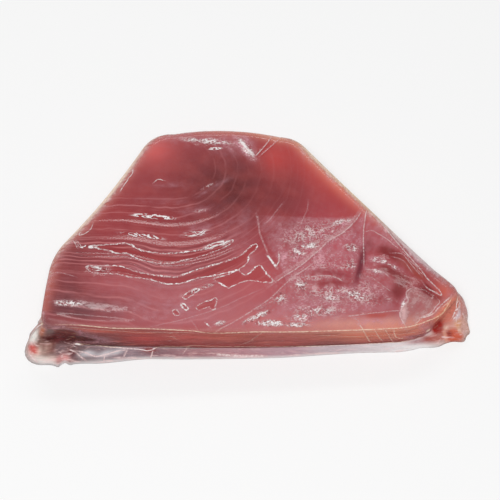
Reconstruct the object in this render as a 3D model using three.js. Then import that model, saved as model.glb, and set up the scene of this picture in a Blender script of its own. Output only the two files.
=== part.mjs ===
// A raw tuna steak sealed in clear shrink film, lying flat.
//
// The steak is one slab cut across a loin: a lopsided trapezoid about 180 mm wide and
// 105 mm deep, thicker at its left end. Its muscle flakes curve round a core near the back
// edge, and their seams stand up as low ridges on the left half of the top face. The film clings to the
// flesh. It stands clear of it only round the foot, as a hem that slopes down to the floor,
// and at the two front corners, where it is gathered into pleated ears.
//
// Millimetres, +Z up, +Y towards the back, the foot of everything on z = 0. The origin is
// under the middle of the whole, at floor level.

import * as THREE from 'three';

// ---------------------------------------------------------------- driving dimensions

// Corners of the top face, anticlockwise from the front left. round is how far from the
// corner its rounding starts, and bow is how far the edge that follows swells outwards.
const CORNERS = [
  { x: -90.5, y: -45.2, round: 6, bow: 2 },
  { x: 77.5, y: -44.5, round: 16, bow: 0 },
  { x: 93.5, y: -25.5, round: 6, bow: -0.7 },
  { x: 21, y: 57, round: 7, bow: 3.2 },
  { x: -44.5, y: 57.5, round: 9, bow: -1.2 },
  { x: -88, y: -12, round: 8, bow: 0.2 },
];
const SIDE_STARTS = [0, 2, 3, 4]; // the corners where the front, right, back and left sides start
const FACETS = { across: 52, deep: 54 }; // of the top face, left to right and front to back
const OUTLINE_POINTS = 1600; // fine steps round the outline, which the facets are picked from

// Thickness from the left end to the right end: x, then the height of the top face there.
const THICKNESS = [
  [-92, 22.5],
  [-60, 20],
  [0, 17.2],
  [50, 16],
  [95, 15.4],
];
const CROWN = { height: 1.1, within: 45 }; // extra height in the middle of the face

// The cut edge rolls over by drop within reach of the outline. Each station is a place round
// the outline: 0 is the front left corner, 1 the right tip, 2 the back right, 3 the back left.
const ROLL = [
  { at: 0.0, drop: 2.2, reach: 3.5 },
  { at: 0.08, drop: 1.0, reach: 3.0 },
  { at: 0.85, drop: 1.0, reach: 3.0 },
  { at: 1.05, drop: 2.6, reach: 5.0 },
  { at: 1.15, drop: 3.8, reach: 6.0 },
  { at: 1.6, drop: 2.4, reach: 4.5 },
  { at: 2.0, drop: 2.6, reach: 4.5 },
  { at: 3.8, drop: 2.8, reach: 4.5 },
  { at: 4.0, drop: 2.2, reach: 3.5 },
];

// The side wall leans out by lean at its foot, swells by belly halfway up, and is undercut
// by under below underTop, a share of its height.
const WALL = { lean: 0.4, belly: 0.7, under: 2.2, underTop: 0.2 };
const WALL_LEVELS = [0.82, 0.6, 0.38, 0.2, 0.08, 0]; // ring heights as shares of the wall

// The muscle flakes: rings round a core, which run out to the left edge as bands. Left of the
// core the bands first climb by a step, and the outer ones then sink again.
const CORE = { x: -36.5, y: 37 };
const RINGS = { stretch: 1.14, lean: 0.18, ease: 10, leanFrom: 44, leanFull: 56 };
const STEP = { rate: 0.13, from: 15, most: 6, within: 22 };
const SINK = { rate: 0.1, beyond: 24, from: 50, full: 66 };
const FLAKES = {
  trough: 10.8, // distance from the core to the first trough
  width: 8.5, // from there to the next one
  wider: 0.25, // half of how much wider each flake is than the one before it
  height: 0.5,
  first: 14, // the ridges start this far from the core
  full: 25,
  fadeFrom: -20, // and fade out to the right between these two x
  fadeTo: 12,
};

// Hollows and swellings of the top face: centre, half sizes, turn in degrees, and height.
const SWELLS = [
  { x: 52, y: -6, along: 4.5, across: 17, turn: 4, height: -1.5 },
  { x: 68, y: -14, along: 16, across: 6, turn: -46, height: -1.6 },
  { x: 76, y: -30, along: 9, across: 6, turn: -42, height: 0.9 },
  { x: 34, y: -27, along: 17, across: 4, turn: 8, height: -0.8 },
  { x: -70, y: -38, along: 16, across: 4, turn: -3, height: -1.1 },
  { x: 8, y: -20, along: 24, across: 11, turn: 25, height: 0.8 },
  { x: -58, y: 12, along: 18, across: 14, turn: 0, height: 0.7 },
];

// The film's hem: how far its edge on the floor stands out from the outline, how far up the
// wall it leaves the flesh, and how full its slope is: below 1 it bulges, above 1 it sags.
const HEM = [
  { at: 0.0, reach: 11.4, up: 17, slack: 0.8 },
  { at: 0.04, reach: 9.0, up: 12, slack: 1.3 },
  { at: 0.1, reach: 8.0, up: 3.6, slack: 1.8 },
  { at: 0.25, reach: 5.0, up: 3.4, slack: 1.4 },
  { at: 0.5, reach: 4.6, up: 3.6, slack: 1.4 },
  { at: 0.72, reach: 3.4, up: 4.6, slack: 1.2 },
  { at: 0.86, reach: 4.0, up: 4.8, slack: 1.2 },
  { at: 0.91, reach: 7.6, up: 7, slack: 1 },
  { at: 0.955, reach: 12.8, up: 12, slack: 0.7 },
  { at: 0.985, reach: 8.4, up: 13, slack: 0.6 },
  { at: 1.0, reach: 4.4, up: 13, slack: 0.5 },
  { at: 1.04, reach: 3.4, up: 12, slack: 0.7 },
  { at: 1.14, reach: 3.2, up: 9, slack: 1 },
  { at: 1.5, reach: 3.2, up: 6, slack: 1.3 },
  { at: 1.9, reach: 3.0, up: 3.8, slack: 1.3 },
  { at: 3.1, reach: 3.0, up: 3.8, slack: 1.3 },
  { at: 3.85, reach: 3.0, up: 5, slack: 1.2 },
  { at: 3.93, reach: 5.4, up: 12, slack: 1 },
  { at: 4.0, reach: 11.4, up: 17, slack: 0.8 },
];
const HEM_GAP = 0.4; // between the flesh and the inside of the hem
const HEM_LIP = 0.5; // thickness of the hem where it leaves the flesh
const HEM_EDGE = 0.5; // and of its edge on the floor
const HEM_SLOPE = [0.33, 0.7]; // where its slope has a crease, as shares of its width
const HEM_STEP = { ear: 1.4, corner: 2, side: 5 }; // spacing of its sections round the outline

// Pleats where the film is gathered: half length along the outline, pitch, and depth in mm.
const EARS = [
  { corner: 0, half: 14, pitch: 5.6, depth: 0.9 },
  { corner: 2, half: 17, pitch: 5.6, depth: 0.9 },
];

// ---------------------------------------------------------------- small maths

const TAU = Math.PI * 2;
const mix = (a, b, t) => a + (b - a) * t;
const clamp = (t) => Math.min(1, Math.max(0, t));
const smooth = (from, to, x) => {
  const t = clamp((x - from) / (to - from));
  return t * t * (3 - 2 * t);
};

// A value at x from rows of [x, value], eased from one row to the next.
function eased(rows, x) {
  const next = rows.findIndex(([at]) => at > x);
  if (next === 0) return rows[0][1];
  if (next < 0) return rows[rows.length - 1][1];
  const [from, low] = rows[next - 1];
  const [to, high] = rows[next];
  return mix(low, high, smooth(from, to, x));
}

const station = (stations, key, at) => eased(stations.map((row) => [row.at, row[key]]), at);

// The number of the listed point that is nearest to (x, y).
function nearest(points, x, y) {
  let best = 0;
  let least = Infinity;
  points.forEach((p, i) => {
    const gap = (p.x - x) ** 2 + (p.y - y) ** 2;
    if (gap < least) [best, least] = [i, gap];
  });
  return best;
}

// ---------------------------------------------------------------- the outline

// The rounded outline as a closed path: a rounding at each corner, then the bowed edge.
function outlinePath() {
  const points = CORNERS.map((corner) => new THREE.Vector2(corner.x, corner.y));
  const along = (i, distance, towards) =>
    points[towards].clone().sub(points[i]).setLength(distance).add(points[i]);
  const path = new THREE.Path();
  CORNERS.forEach((corner, i) => {
    const next = (i + 1) % CORNERS.length;
    const previous = (i + CORNERS.length - 1) % CORNERS.length;
    const enter = along(i, corner.round, previous);
    const leave = along(i, corner.round, next);
    const end = along(next, CORNERS[next].round, i);
    const outward = new THREE.Vector2(end.y - leave.y, leave.x - end.x).normalize();
    const swollen = leave.clone().add(end).multiplyScalar(0.5).addScaledVector(outward, 2 * corner.bow);
    if (i === 0) path.moveTo(enter.x, enter.y);
    path.quadraticCurveTo(points[i].x, points[i].y, leave.x, leave.y);
    path.quadraticCurveTo(swollen.x, swollen.y, end.x, end.y);
  });
  return path;
}

// The outline in fine steps from the front left corner. Each point knows the way out of the
// steak, how far round it is in mm (run), and its place number, 0 to 4 (at).
function makeOutline() {
  const path = outlinePath();
  const ring = path.getSpacedPoints(OUTLINE_POINTS).slice(0, OUTLINE_POINTS);
  const first = nearest(ring, CORNERS[0].x, CORNERS[0].y);
  const points = [...ring.slice(first), ...ring.slice(0, first)];
  const step = path.getLength() / OUTLINE_POINTS;
  const starts = SIDE_STARTS.map((corner) => nearest(points, CORNERS[corner].x, CORNERS[corner].y));
  const ends = [...starts.slice(1), OUTLINE_POINTS];
  return points.map(({ x, y }, i) => {
    const before = points.at(i - 1);
    const after = points[(i + 1) % OUTLINE_POINTS];
    const length = Math.hypot(after.x - before.x, after.y - before.y);
    const side = starts.findLastIndex((start) => i >= start);
    const at = side + (i - starts[side]) / (ends[side] - starts[side]);
    return { x, y, at, run: i * step, out: [(after.y - before.y) / length, (before.x - after.x) / length] };
  });
}

const OUTLINE = makeOutline();
const ROUND = OUTLINE[1].run * OUTLINE_POINTS; // length of the outline

// One side of the outline as evenly spaced points, both corners included.
function sideOf(number, facets) {
  const start = OUTLINE.findIndex((p) => p.at >= number);
  const next = OUTLINE.findIndex((p) => p.at >= number + 1);
  const end = next < 0 ? OUTLINE_POINTS : next;
  const place = (i) => Math.round(mix(start, end, i / facets)) % OUTLINE_POINTS;
  return Array.from({ length: facets + 1 }, (_, i) => OUTLINE[place(i)]);
}

const FRONT = sideOf(0, FACETS.across);
const RIGHT = sideOf(1, FACETS.deep);
const BACK = sideOf(2, FACETS.across);
const LEFT = sideOf(3, FACETS.deep);
const RIM = [FRONT, RIGHT, BACK, LEFT].flatMap((side) => side.slice(0, -1));

// A point beside an outline point, moved outwards.
const outside = (p, out, z) => [p.x + p.out[0] * out, p.y + p.out[1] * out, z];

// ---------------------------------------------------------------- the top face

// How far out from the core a point lies, counted across the flakes: a ring's radius to the
// right of the core, where the outer rings lean upwards, and a distance forward to the left.
function flakeDistance(x, y) {
  const aside = x - CORE.x;
  const ahead = Math.abs(CORE.y - y);
  if (aside < 0) {
    const climb = Math.min(STEP.most, Math.max(0, STEP.rate * (ahead - STEP.from)));
    const sink = SINK.rate * Math.max(0, -aside - SINK.beyond) * smooth(SINK.from, SINK.full, ahead);
    return ahead + climb * smooth(0, STEP.within, -aside) + sink;
  }
  const ring = Math.hypot(aside / RINGS.stretch, ahead);
  const lean = (RINGS.lean * aside ** 2) / (aside + RINGS.ease);
  return ring + lean * smooth(RINGS.leanFrom, RINGS.leanFull, ring);
}

// Number of the flake at a distance from the core: whole in a trough, and a half on a ridge.
function flakeNumber(out) {
  const { trough, width, wider } = FLAKES;
  return (Math.sqrt(width ** 2 + 4 * wider * (out - trough)) - width) / (2 * wider);
}

function ridge(x, y) {
  const out = flakeDistance(x, y);
  const begun = smooth(FLAKES.first, FLAKES.full, out);
  const left = 1 - smooth(FLAKES.fadeFrom, FLAKES.fadeTo, x);
  return -FLAKES.height * begun * left * Math.cos(TAU * flakeNumber(out));
}

function swell(x, y) {
  return SWELLS.reduce((sum, s) => {
    const turn = THREE.MathUtils.degToRad(s.turn);
    const [dx, dy] = [x - s.x, y - s.y];
    const a = (dx * Math.cos(turn) + dy * Math.sin(turn)) / s.along;
    const b = (dy * Math.cos(turn) - dx * Math.sin(turn)) / s.across;
    return sum + s.height * Math.exp(-(a * a + b * b));
  }, 0);
}

// Height of the cut edge, where the top face ends and the wall starts.
const edgeHeight = (p) => eased(THICKNESS, p.x) - station(ROLL, 'drop', p.at);

// Height of the top face. Relief fades out at the edge, so that the wall meets it cleanly.
function topHeight(x, y) {
  const edge = OUTLINE[nearest(OUTLINE, x, y)];
  const distance = Math.hypot(edge.x - x, edge.y - y);
  const reach = station(ROLL, 'reach', edge.at);
  const rolled = station(ROLL, 'drop', edge.at) * (1 - clamp(distance / reach)) ** 2;
  const crown = CROWN.height * smooth(0, CROWN.within, distance);
  const relief = smooth(0, reach * 2, distance) * (ridge(x, y) + swell(x, y));
  return eased(THICKNESS, x) - rolled + crown + relief;
}

// A point of the top face: the four sides blended across it (a Coons patch).
function facePoint(i, j) {
  const [u, v] = [i / FACETS.across, j / FACETS.deep];
  const [front, right, back, left] = [FRONT[i], RIGHT[j], BACK[FACETS.across - i], LEFT[FACETS.deep - j]];
  const [nearLeft, nearRight, farRight, farLeft] = [FRONT[0], RIGHT[0], BACK[0], LEFT[0]];
  const corners = (axis) =>
    mix(mix(nearLeft[axis], nearRight[axis], u), mix(farLeft[axis], farRight[axis], u), v);
  const blend = (axis) =>
    mix(front[axis], back[axis], v) + mix(left[axis], right[axis], u) - corners(axis);
  return [blend('x'), blend('y')];
}

// ---------------------------------------------------------------- the steak

// How far outside the cut edge the flesh's wall is, at a share of its height.
function wallOut(share) {
  const undercut = WALL.under * (1 - clamp(share / WALL.underTop)) ** 2;
  return WALL.lean * (1 - share) + WALL.belly * Math.sin(Math.PI * share) - undercut;
}

// A closed mesh from points and from faces given as triangles.
function meshOf(name, points, triangles, material) {
  const geometry = new THREE.BufferGeometry();
  geometry.setAttribute('position', new THREE.Float32BufferAttribute(points.flat(), 3));
  geometry.setIndex(triangles.flat());
  geometry.computeVertexNormals();
  const mesh = new THREE.Mesh(geometry, material);
  mesh.name = name;
  return mesh;
}

// Triangles between two rows of point numbers. A closed strip also joins its two ends.
function strip(lower, upper, closed) {
  const count = closed ? lower.length : lower.length - 1;
  return Array.from({ length: count }, (_, i) => {
    const next = (i + 1) % lower.length;
    return [
      [lower[i], lower[next], upper[next]],
      [lower[i], upper[next], upper[i]],
    ];
  }).flat();
}

// The steak: the top face as a grid, then rings down the wall, then a flat underside.
function makeSteak() {
  const points = [];
  const add = (point) => points.push(point) - 1;
  const rows = Array.from({ length: FACETS.deep + 1 }, (_, j) =>
    Array.from({ length: FACETS.across + 1 }, (_, i) => {
      const [x, y] = facePoint(i, j);
      return add([x, y, topHeight(x, y)]);
    }),
  );
  const edge = [
    ...rows[0].slice(0, -1),
    ...rows.slice(0, -1).map((row) => row[FACETS.across]),
    ...rows[FACETS.deep].slice(1).reverse(),
    ...rows.slice(1).map((row) => row[0]).reverse(),
  ];
  const rings = [edge];
  WALL_LEVELS.forEach((level) => {
    rings.push(RIM.map((p) => add(outside(p, wallOut(level), edgeHeight(p) * level))));
  });
  const foot = rings[rings.length - 1];
  const flat = foot.map((n) => new THREE.Vector2(points[n][0], points[n][1]));
  const triangles = [
    ...rows.slice(1).flatMap((row, j) => strip(rows[j], row, false)),
    ...rings.slice(1).flatMap((ring, k) => strip(ring, rings[k], true)),
    ...THREE.ShapeUtils.triangulateShape(flat, []).map(([a, b, c]) => [foot[a], foot[c], foot[b]]),
  ];
  return meshOf('tuna_steak', points, triangles, fleshMaterial());
}

// ---------------------------------------------------------------- the film

// Distance along the outline from a point to a corner.
function alongTo(corner, p) {
  const middle = OUTLINE[nearest(OUTLINE, CORNERS[corner].x, CORNERS[corner].y)];
  const apart = Math.abs(p.run - middle.run);
  return Math.min(apart, ROUND - apart);
}

// How far the pleats of the gathered ears push the film out, or draw it in.
function pleat(p) {
  return EARS.reduce((sum, ear) => {
    const along = alongTo(ear.corner, p);
    const gathered = 1 - smooth(ear.half * 0.5, ear.half, along);
    return sum + ear.depth * gathered * Math.cos((TAU * along) / ear.pitch);
  }, 0);
}

// The outline points that carry a section of the hem: close together at the ears and the
// corners, and far apart along the sides.
function hemStations() {
  const spacing = OUTLINE.map((p) => {
    if (EARS.some((ear) => alongTo(ear.corner, p) < ear.half)) return HEM_STEP.ear;
    const turning = CORNERS.some((corner, i) => alongTo(i, p) < corner.round * 1.5);
    return turning ? HEM_STEP.corner : HEM_STEP.side;
  });
  let due = 0;
  return OUTLINE.filter((p, i) => {
    const take = p.run >= due && p.run < ROUND - HEM_STEP.ear / 2;
    if (take) due = p.run + spacing[i];
    return take;
  });
}

// The hem: one ring of film round the foot. Its section climbs the flesh's wall with a small
// gap, turns over its lip, and slopes out to the floor.
function makeHem() {
  const sections = hemStations().map((p) => {
    const wall = edgeHeight(p);
    const up = Math.min(station(HEM, 'up', p.at), wall * 0.92);
    const undercut = Math.min(WALL.underTop, (0.8 * up) / wall);
    const levels = [0, 0.4 * undercut, undercut, mix(undercut, up / wall, 0.5), up / wall];
    const climb = levels.map((level) => outside(p, wallOut(level) + HEM_GAP, wall * level));
    const lip = wallOut(up / wall) + HEM_GAP + HEM_LIP;
    const reach = station(HEM, 'reach', p.at) + pleat(p);
    const slack = station(HEM, 'slack', p.at);
    const fall = HEM_SLOPE.map((share) => {
      const height = mix(HEM_EDGE, up, (1 - share) ** slack);
      return outside(p, mix(lip, reach, share), height);
    });
    return [...climb, outside(p, lip, up), ...fall, outside(p, reach, HEM_EDGE), outside(p, reach, 0)];
  });
  const size = sections[0].length;
  const rails = Array.from({ length: size }, (_, k) => sections.map((_, i) => i * size + k));
  const triangles = rails.flatMap((rail, k) => strip(rails[(k + 1) % size], rail, true));
  return meshOf('film_hem', sections.flat(), triangles, filmMaterial());
}

// ---------------------------------------------------------------- materials and assembly

function fleshMaterial() {
  return new THREE.MeshStandardMaterial({ color: 0xa8484a, roughness: 0.25, metalness: 0 });
}

function filmMaterial() {
  return new THREE.MeshStandardMaterial({
    color: 0xdcc6c8,
    roughness: 0.15,
    metalness: 0,
    transparent: true,
    opacity: 0.45,
  });
}

const root = new THREE.Group();
root.add(makeSteak(), makeHem());

const middle = new THREE.Box3().setFromObject(root).getCenter(new THREE.Vector3());
root.position.set(-middle.x, -middle.y, 0);

export default root;
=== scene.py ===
"""A raw tuna steak sealed in clear shrink film: the finished surfaces.

Flesh and film share one grid over the top face and one row of places round its rim, so the film
follows the flesh everywhere. Lengths are millimetres in the steak's own frame (+X right, +Y back,
+Z up, feet on z = 0) until placed() turns them into metres in the frame of the solids.
"""
import math

import bpy
import numpy as np
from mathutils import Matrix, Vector


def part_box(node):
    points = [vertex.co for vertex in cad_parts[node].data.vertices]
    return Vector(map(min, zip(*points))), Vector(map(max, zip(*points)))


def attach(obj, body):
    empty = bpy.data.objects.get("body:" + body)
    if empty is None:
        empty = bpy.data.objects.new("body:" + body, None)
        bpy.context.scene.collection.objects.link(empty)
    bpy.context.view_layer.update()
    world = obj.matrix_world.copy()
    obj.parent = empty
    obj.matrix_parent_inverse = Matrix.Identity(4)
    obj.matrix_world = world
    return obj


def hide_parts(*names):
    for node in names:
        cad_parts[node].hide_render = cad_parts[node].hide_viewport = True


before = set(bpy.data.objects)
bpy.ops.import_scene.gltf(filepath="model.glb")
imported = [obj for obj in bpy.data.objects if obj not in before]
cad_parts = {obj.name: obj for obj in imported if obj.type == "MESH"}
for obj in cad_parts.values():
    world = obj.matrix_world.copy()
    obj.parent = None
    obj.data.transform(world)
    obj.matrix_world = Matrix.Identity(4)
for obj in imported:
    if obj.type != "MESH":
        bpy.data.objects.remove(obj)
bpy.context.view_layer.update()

# ------------------------------------------------------------------ sizes that the solids share

# Corners of the top face, anticlockwise from the front left: x, y, how far from the corner its
# rounding starts, and how far the edge after it swells outwards.
CORNERS = [
    (-90.5, -45.2, 6, 2.0),
    (77.5, -44.5, 16, 0.0),
    (93.5, -25.5, 6, -0.7),
    (21.0, 57.0, 7, 3.2),
    (-44.5, 57.5, 9, -1.2),
    (-88.0, -12.0, 8, 0.2),
]
SIDE_STARTS = (0, 2, 3, 4)  # the corners where the front, right, back and left sides start
THICKNESS = [(-92, 22.5), (-60, 20), (0, 17.2), (50, 16), (95, 15.4)]  # x, height of the top face
CROWN_HEIGHT, CROWN_WITHIN = 1.1, 45  # extra height in the middle of the face

# Where the cut edge rolls over: place round the outline (0 front left, 1 right tip, 2 back right,
# 3 back left), how far it drops, and within what distance.
ROLL = [
    (0.0, 2.2, 3.5), (0.08, 1.0, 3.0), (0.85, 1.0, 3.0), (1.05, 2.6, 5.0), (1.15, 3.8, 6.0),
    (1.6, 2.4, 4.5), (2.0, 2.6, 4.5), (3.8, 2.8, 4.5), (4.0, 2.2, 3.5),
]
WALL_LEAN, WALL_BELLY = 0.4, 0.7
WALL_UNDER, WALL_UNDER_TOP = 2.2, 0.2  # how deep the foot is cut under, and up to what share

# The film's hem: place, how far its edge stands out, how far up the wall it starts, and slack.
HEM = [
    (0.0, 11.4, 17, 0.8), (0.04, 9.0, 12, 1.3), (0.1, 8.0, 3.6, 1.8), (0.25, 5.0, 3.4, 1.4),
    (0.5, 4.6, 3.6, 1.4), (0.72, 3.4, 4.6, 1.2), (0.86, 4.0, 4.8, 1.2), (0.91, 7.6, 7, 1.0),
    (0.955, 12.8, 12, 0.7), (0.985, 8.4, 13, 0.6), (1.0, 4.4, 13, 0.5), (1.04, 3.4, 12, 0.7),
    (1.14, 3.2, 9, 1.0), (1.5, 3.2, 6, 1.3), (1.9, 3.0, 3.8, 1.3), (3.1, 3.0, 3.8, 1.3),
    (3.85, 3.0, 5, 1.2), (3.93, 5.4, 12, 1.0), (4.0, 11.4, 17, 0.8),
]
EARS = [(0, 14), (2, 17)]  # gathered corners: the corner, and half the length of its gathers
EAR_PITCH, EAR_DEPTH = 5.6, 0.9  # of their pleats

CORE = (-36.5, 37.0)  # the muscle flakes curve round this point
FLAKE_TROUGH, FLAKE_WIDTH, FLAKE_WIDER, FLAKE_HEIGHT = 10.8, 8.5, 0.25, 0.5
FLAKES_FROM, FLAKES_LEFT_OF = (16, 36), (-20, 12)  # where their ridges begin and end
RING_STRETCH, RING_LEAN, LEAN_EASE, LEAN_OUT = 1.14, 0.18, 10, (44, 56)
STEP_RATE, STEP_FROM, STEP_MOST, STEP_WITHIN = 0.13, 15, 6, 22
SINK_RATE, SINK_FROM, SINK_AHEAD = 0.1, 24, (50, 66)

# Hollows and swellings of the top face: x, y, half sizes, turn in degrees, height.
SWELLS = [
    (52, -6, 4.5, 17, 4, -1.5), (68, -14, 16, 6, -46, -1.6), (76, -30, 9, 6, -42, 0.9),
    (34, -27, 17, 4, 8, -0.8), (-70, -38, 16, 4, -3, -1.1), (8, -20, 24, 11, 25, 0.8),
    (-58, 12, 18, 14, 0, 0.7),
]

# ------------------------------------------------------------------ sizes of the finish

ACROSS, DEEP = 340, 200  # cells of the top face, left to right and front to back
OUTLINE_POINTS = 6400
RIM_STRIDE, EDGE_FAR = 16, 80  # outline points to a step, and how far in the edge is measured
TURN_LENGTH = 40  # mm along a flake for a radian round the core
FILM_GAP = 0.28  # the film's outside follows the solids, and the flesh lies this far within it
FILM_FOOT = 0.04
PLEAT_MARGIN = 0.2  # keeps the tips of the pleats inside the solids' box
FOLD_SHARE = 0.4  # of a crease's height that the flesh under it takes
FLAKE_SHARE = 0.6  # of the solids' flake height that the finished face takes
SEAM_HEIGHT, SEAMS_A_FLAKE = 0.08, 5  # of the finer ridges on the outer flakes
MANY_FROM, MANY_TO, MANY_LEFT_OF = (40, 45), (66, 58), (2, -14)  # where those flakes are
LEFT_END, LEFT_END_SHARE = (-82, -48), 0.45  # the ridges are lower at the left end
CRUMPLE_SIZE, CRUMPLE_HEIGHT, CRUMPLE_EASE = 9, 0.16, (2, -6)  # under the veil
FROST_SIZE, FROST_HEIGHT = 3.4, 0.1
HEM_HIGHEST = 0.92  # share of the wall's height that the hem may start at
GATHER_FULL = 0.5  # share of a gathered corner's half length at full depth
POOL_LIFT, POOL_EASE = 0.25, 1.6  # how high an air pool stands, and within what distance
FLESH_LEVELS = (0.97, 0.93, 0.87, 0.8, 0.7, 0.6, 0.5, 0.4, 0.3, 0.22, 0.15, 0.09, 0.04, 0)
CLING_RINGS, SLOPE_RINGS = 12, 11
UNDER_RINGS = (0.93, 0.75, 0.45, 0.15)  # the underside's rings, as shares of its outline
FAR = 5.0  # marks on the film are worked out this far from their lines
CREASE_TAPER, CREASE_TIP, RIDGE_LEAST = 0.08, 0.35, 0.6  # part of its length, strength, width
BAND_TAPER, BAND_TIP = 0.35, 0.1
SOFT_EDGE = (0.4, -0.4)  # distance over which the edge of a patch or veil fades

# Air pools under the film, as closed lines of points on the top face.
AIR_POOLS = {
    "upper long pool": [
        (-71.5, -6.2), (-64.4, -5.2), (-54.4, -4.8), (-49.4, -7.5), (-42.2, -9.1), (-35, -9.2),
        (-22.2, -7), (-14, -4.2), (-7.6, -1.5), (-11, -5), (-22.2, -10.1), (-27.7, -11.8),
        (-34.9, -14.2), (-39.7, -14.3), (-46.8, -13.3), (-50.7, -11.7), (-54.1, -9.6),
        (-58.9, -9.4), (-63.8, -7.7),
    ],
    "lower long pool": [
        (-71.9, -16.5), (-66.2, -15.8), (-60.5, -15.7), (-55.7, -16.5), (-50.4, -18.4),
        (-44.2, -19.8), (-34.7, -20.8), (-30, -19.9), (-25.2, -17.6), (-14.5, -13.7), (-5, -9.8),
        (0.4, -4.6), (3, -3.6), (2.6, -6), (-0.4, -9.5), (-1.3, -13.1), (-5.6, -16.7),
        (-14.1, -19.2), (-22.8, -20.9), (-29.9, -23.7), (-34.6, -24.4), (-39.4, -23.6),
        (-45.1, -22.1), (-52.7, -21.5), (-58.4, -20.1), (-65.5, -19.8), (-69.8, -19.1),
    ],
    "right pool": [
        (-15.8, -21.5), (-10, -19.4), (-5.2, -17.2), (-1.8, -19.4), (3.8, -14.5), (5.9, -16.6),
        (7.5, -19), (10.4, -22.8), (4.8, -22.9), (0, -22.1), (-4, -23.1), (-7.9, -24.8),
        (-9.6, -25.4),
    ],
    "blunt pool": [
        (-23.4, -35.6), (-22.2, -34.1), (-19.6, -32.6), (-16.7, -31.5), (-14.6, -30.7),
        (-15, -34.9), (-15.8, -36.6), (-18.3, -35.3), (-22.1, -36.8),
    ],
    "slim pool": [(-29.4, -30.6), (-26.6, -27.9), (-21.9, -26.2), (-23.5, -28.2), (-27.5, -31)],
    "upper bubble": [(-30, -33.8), (-28.6, -33.9), (-26.8, -36.2), (-27.8, -37), (-29.2, -35.8)],
    "lower bubble": [(-33.4, -37), (-31.8, -36.9), (-30.4, -39), (-31.6, -39.6), (-33.2, -38.8)],
}

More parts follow.
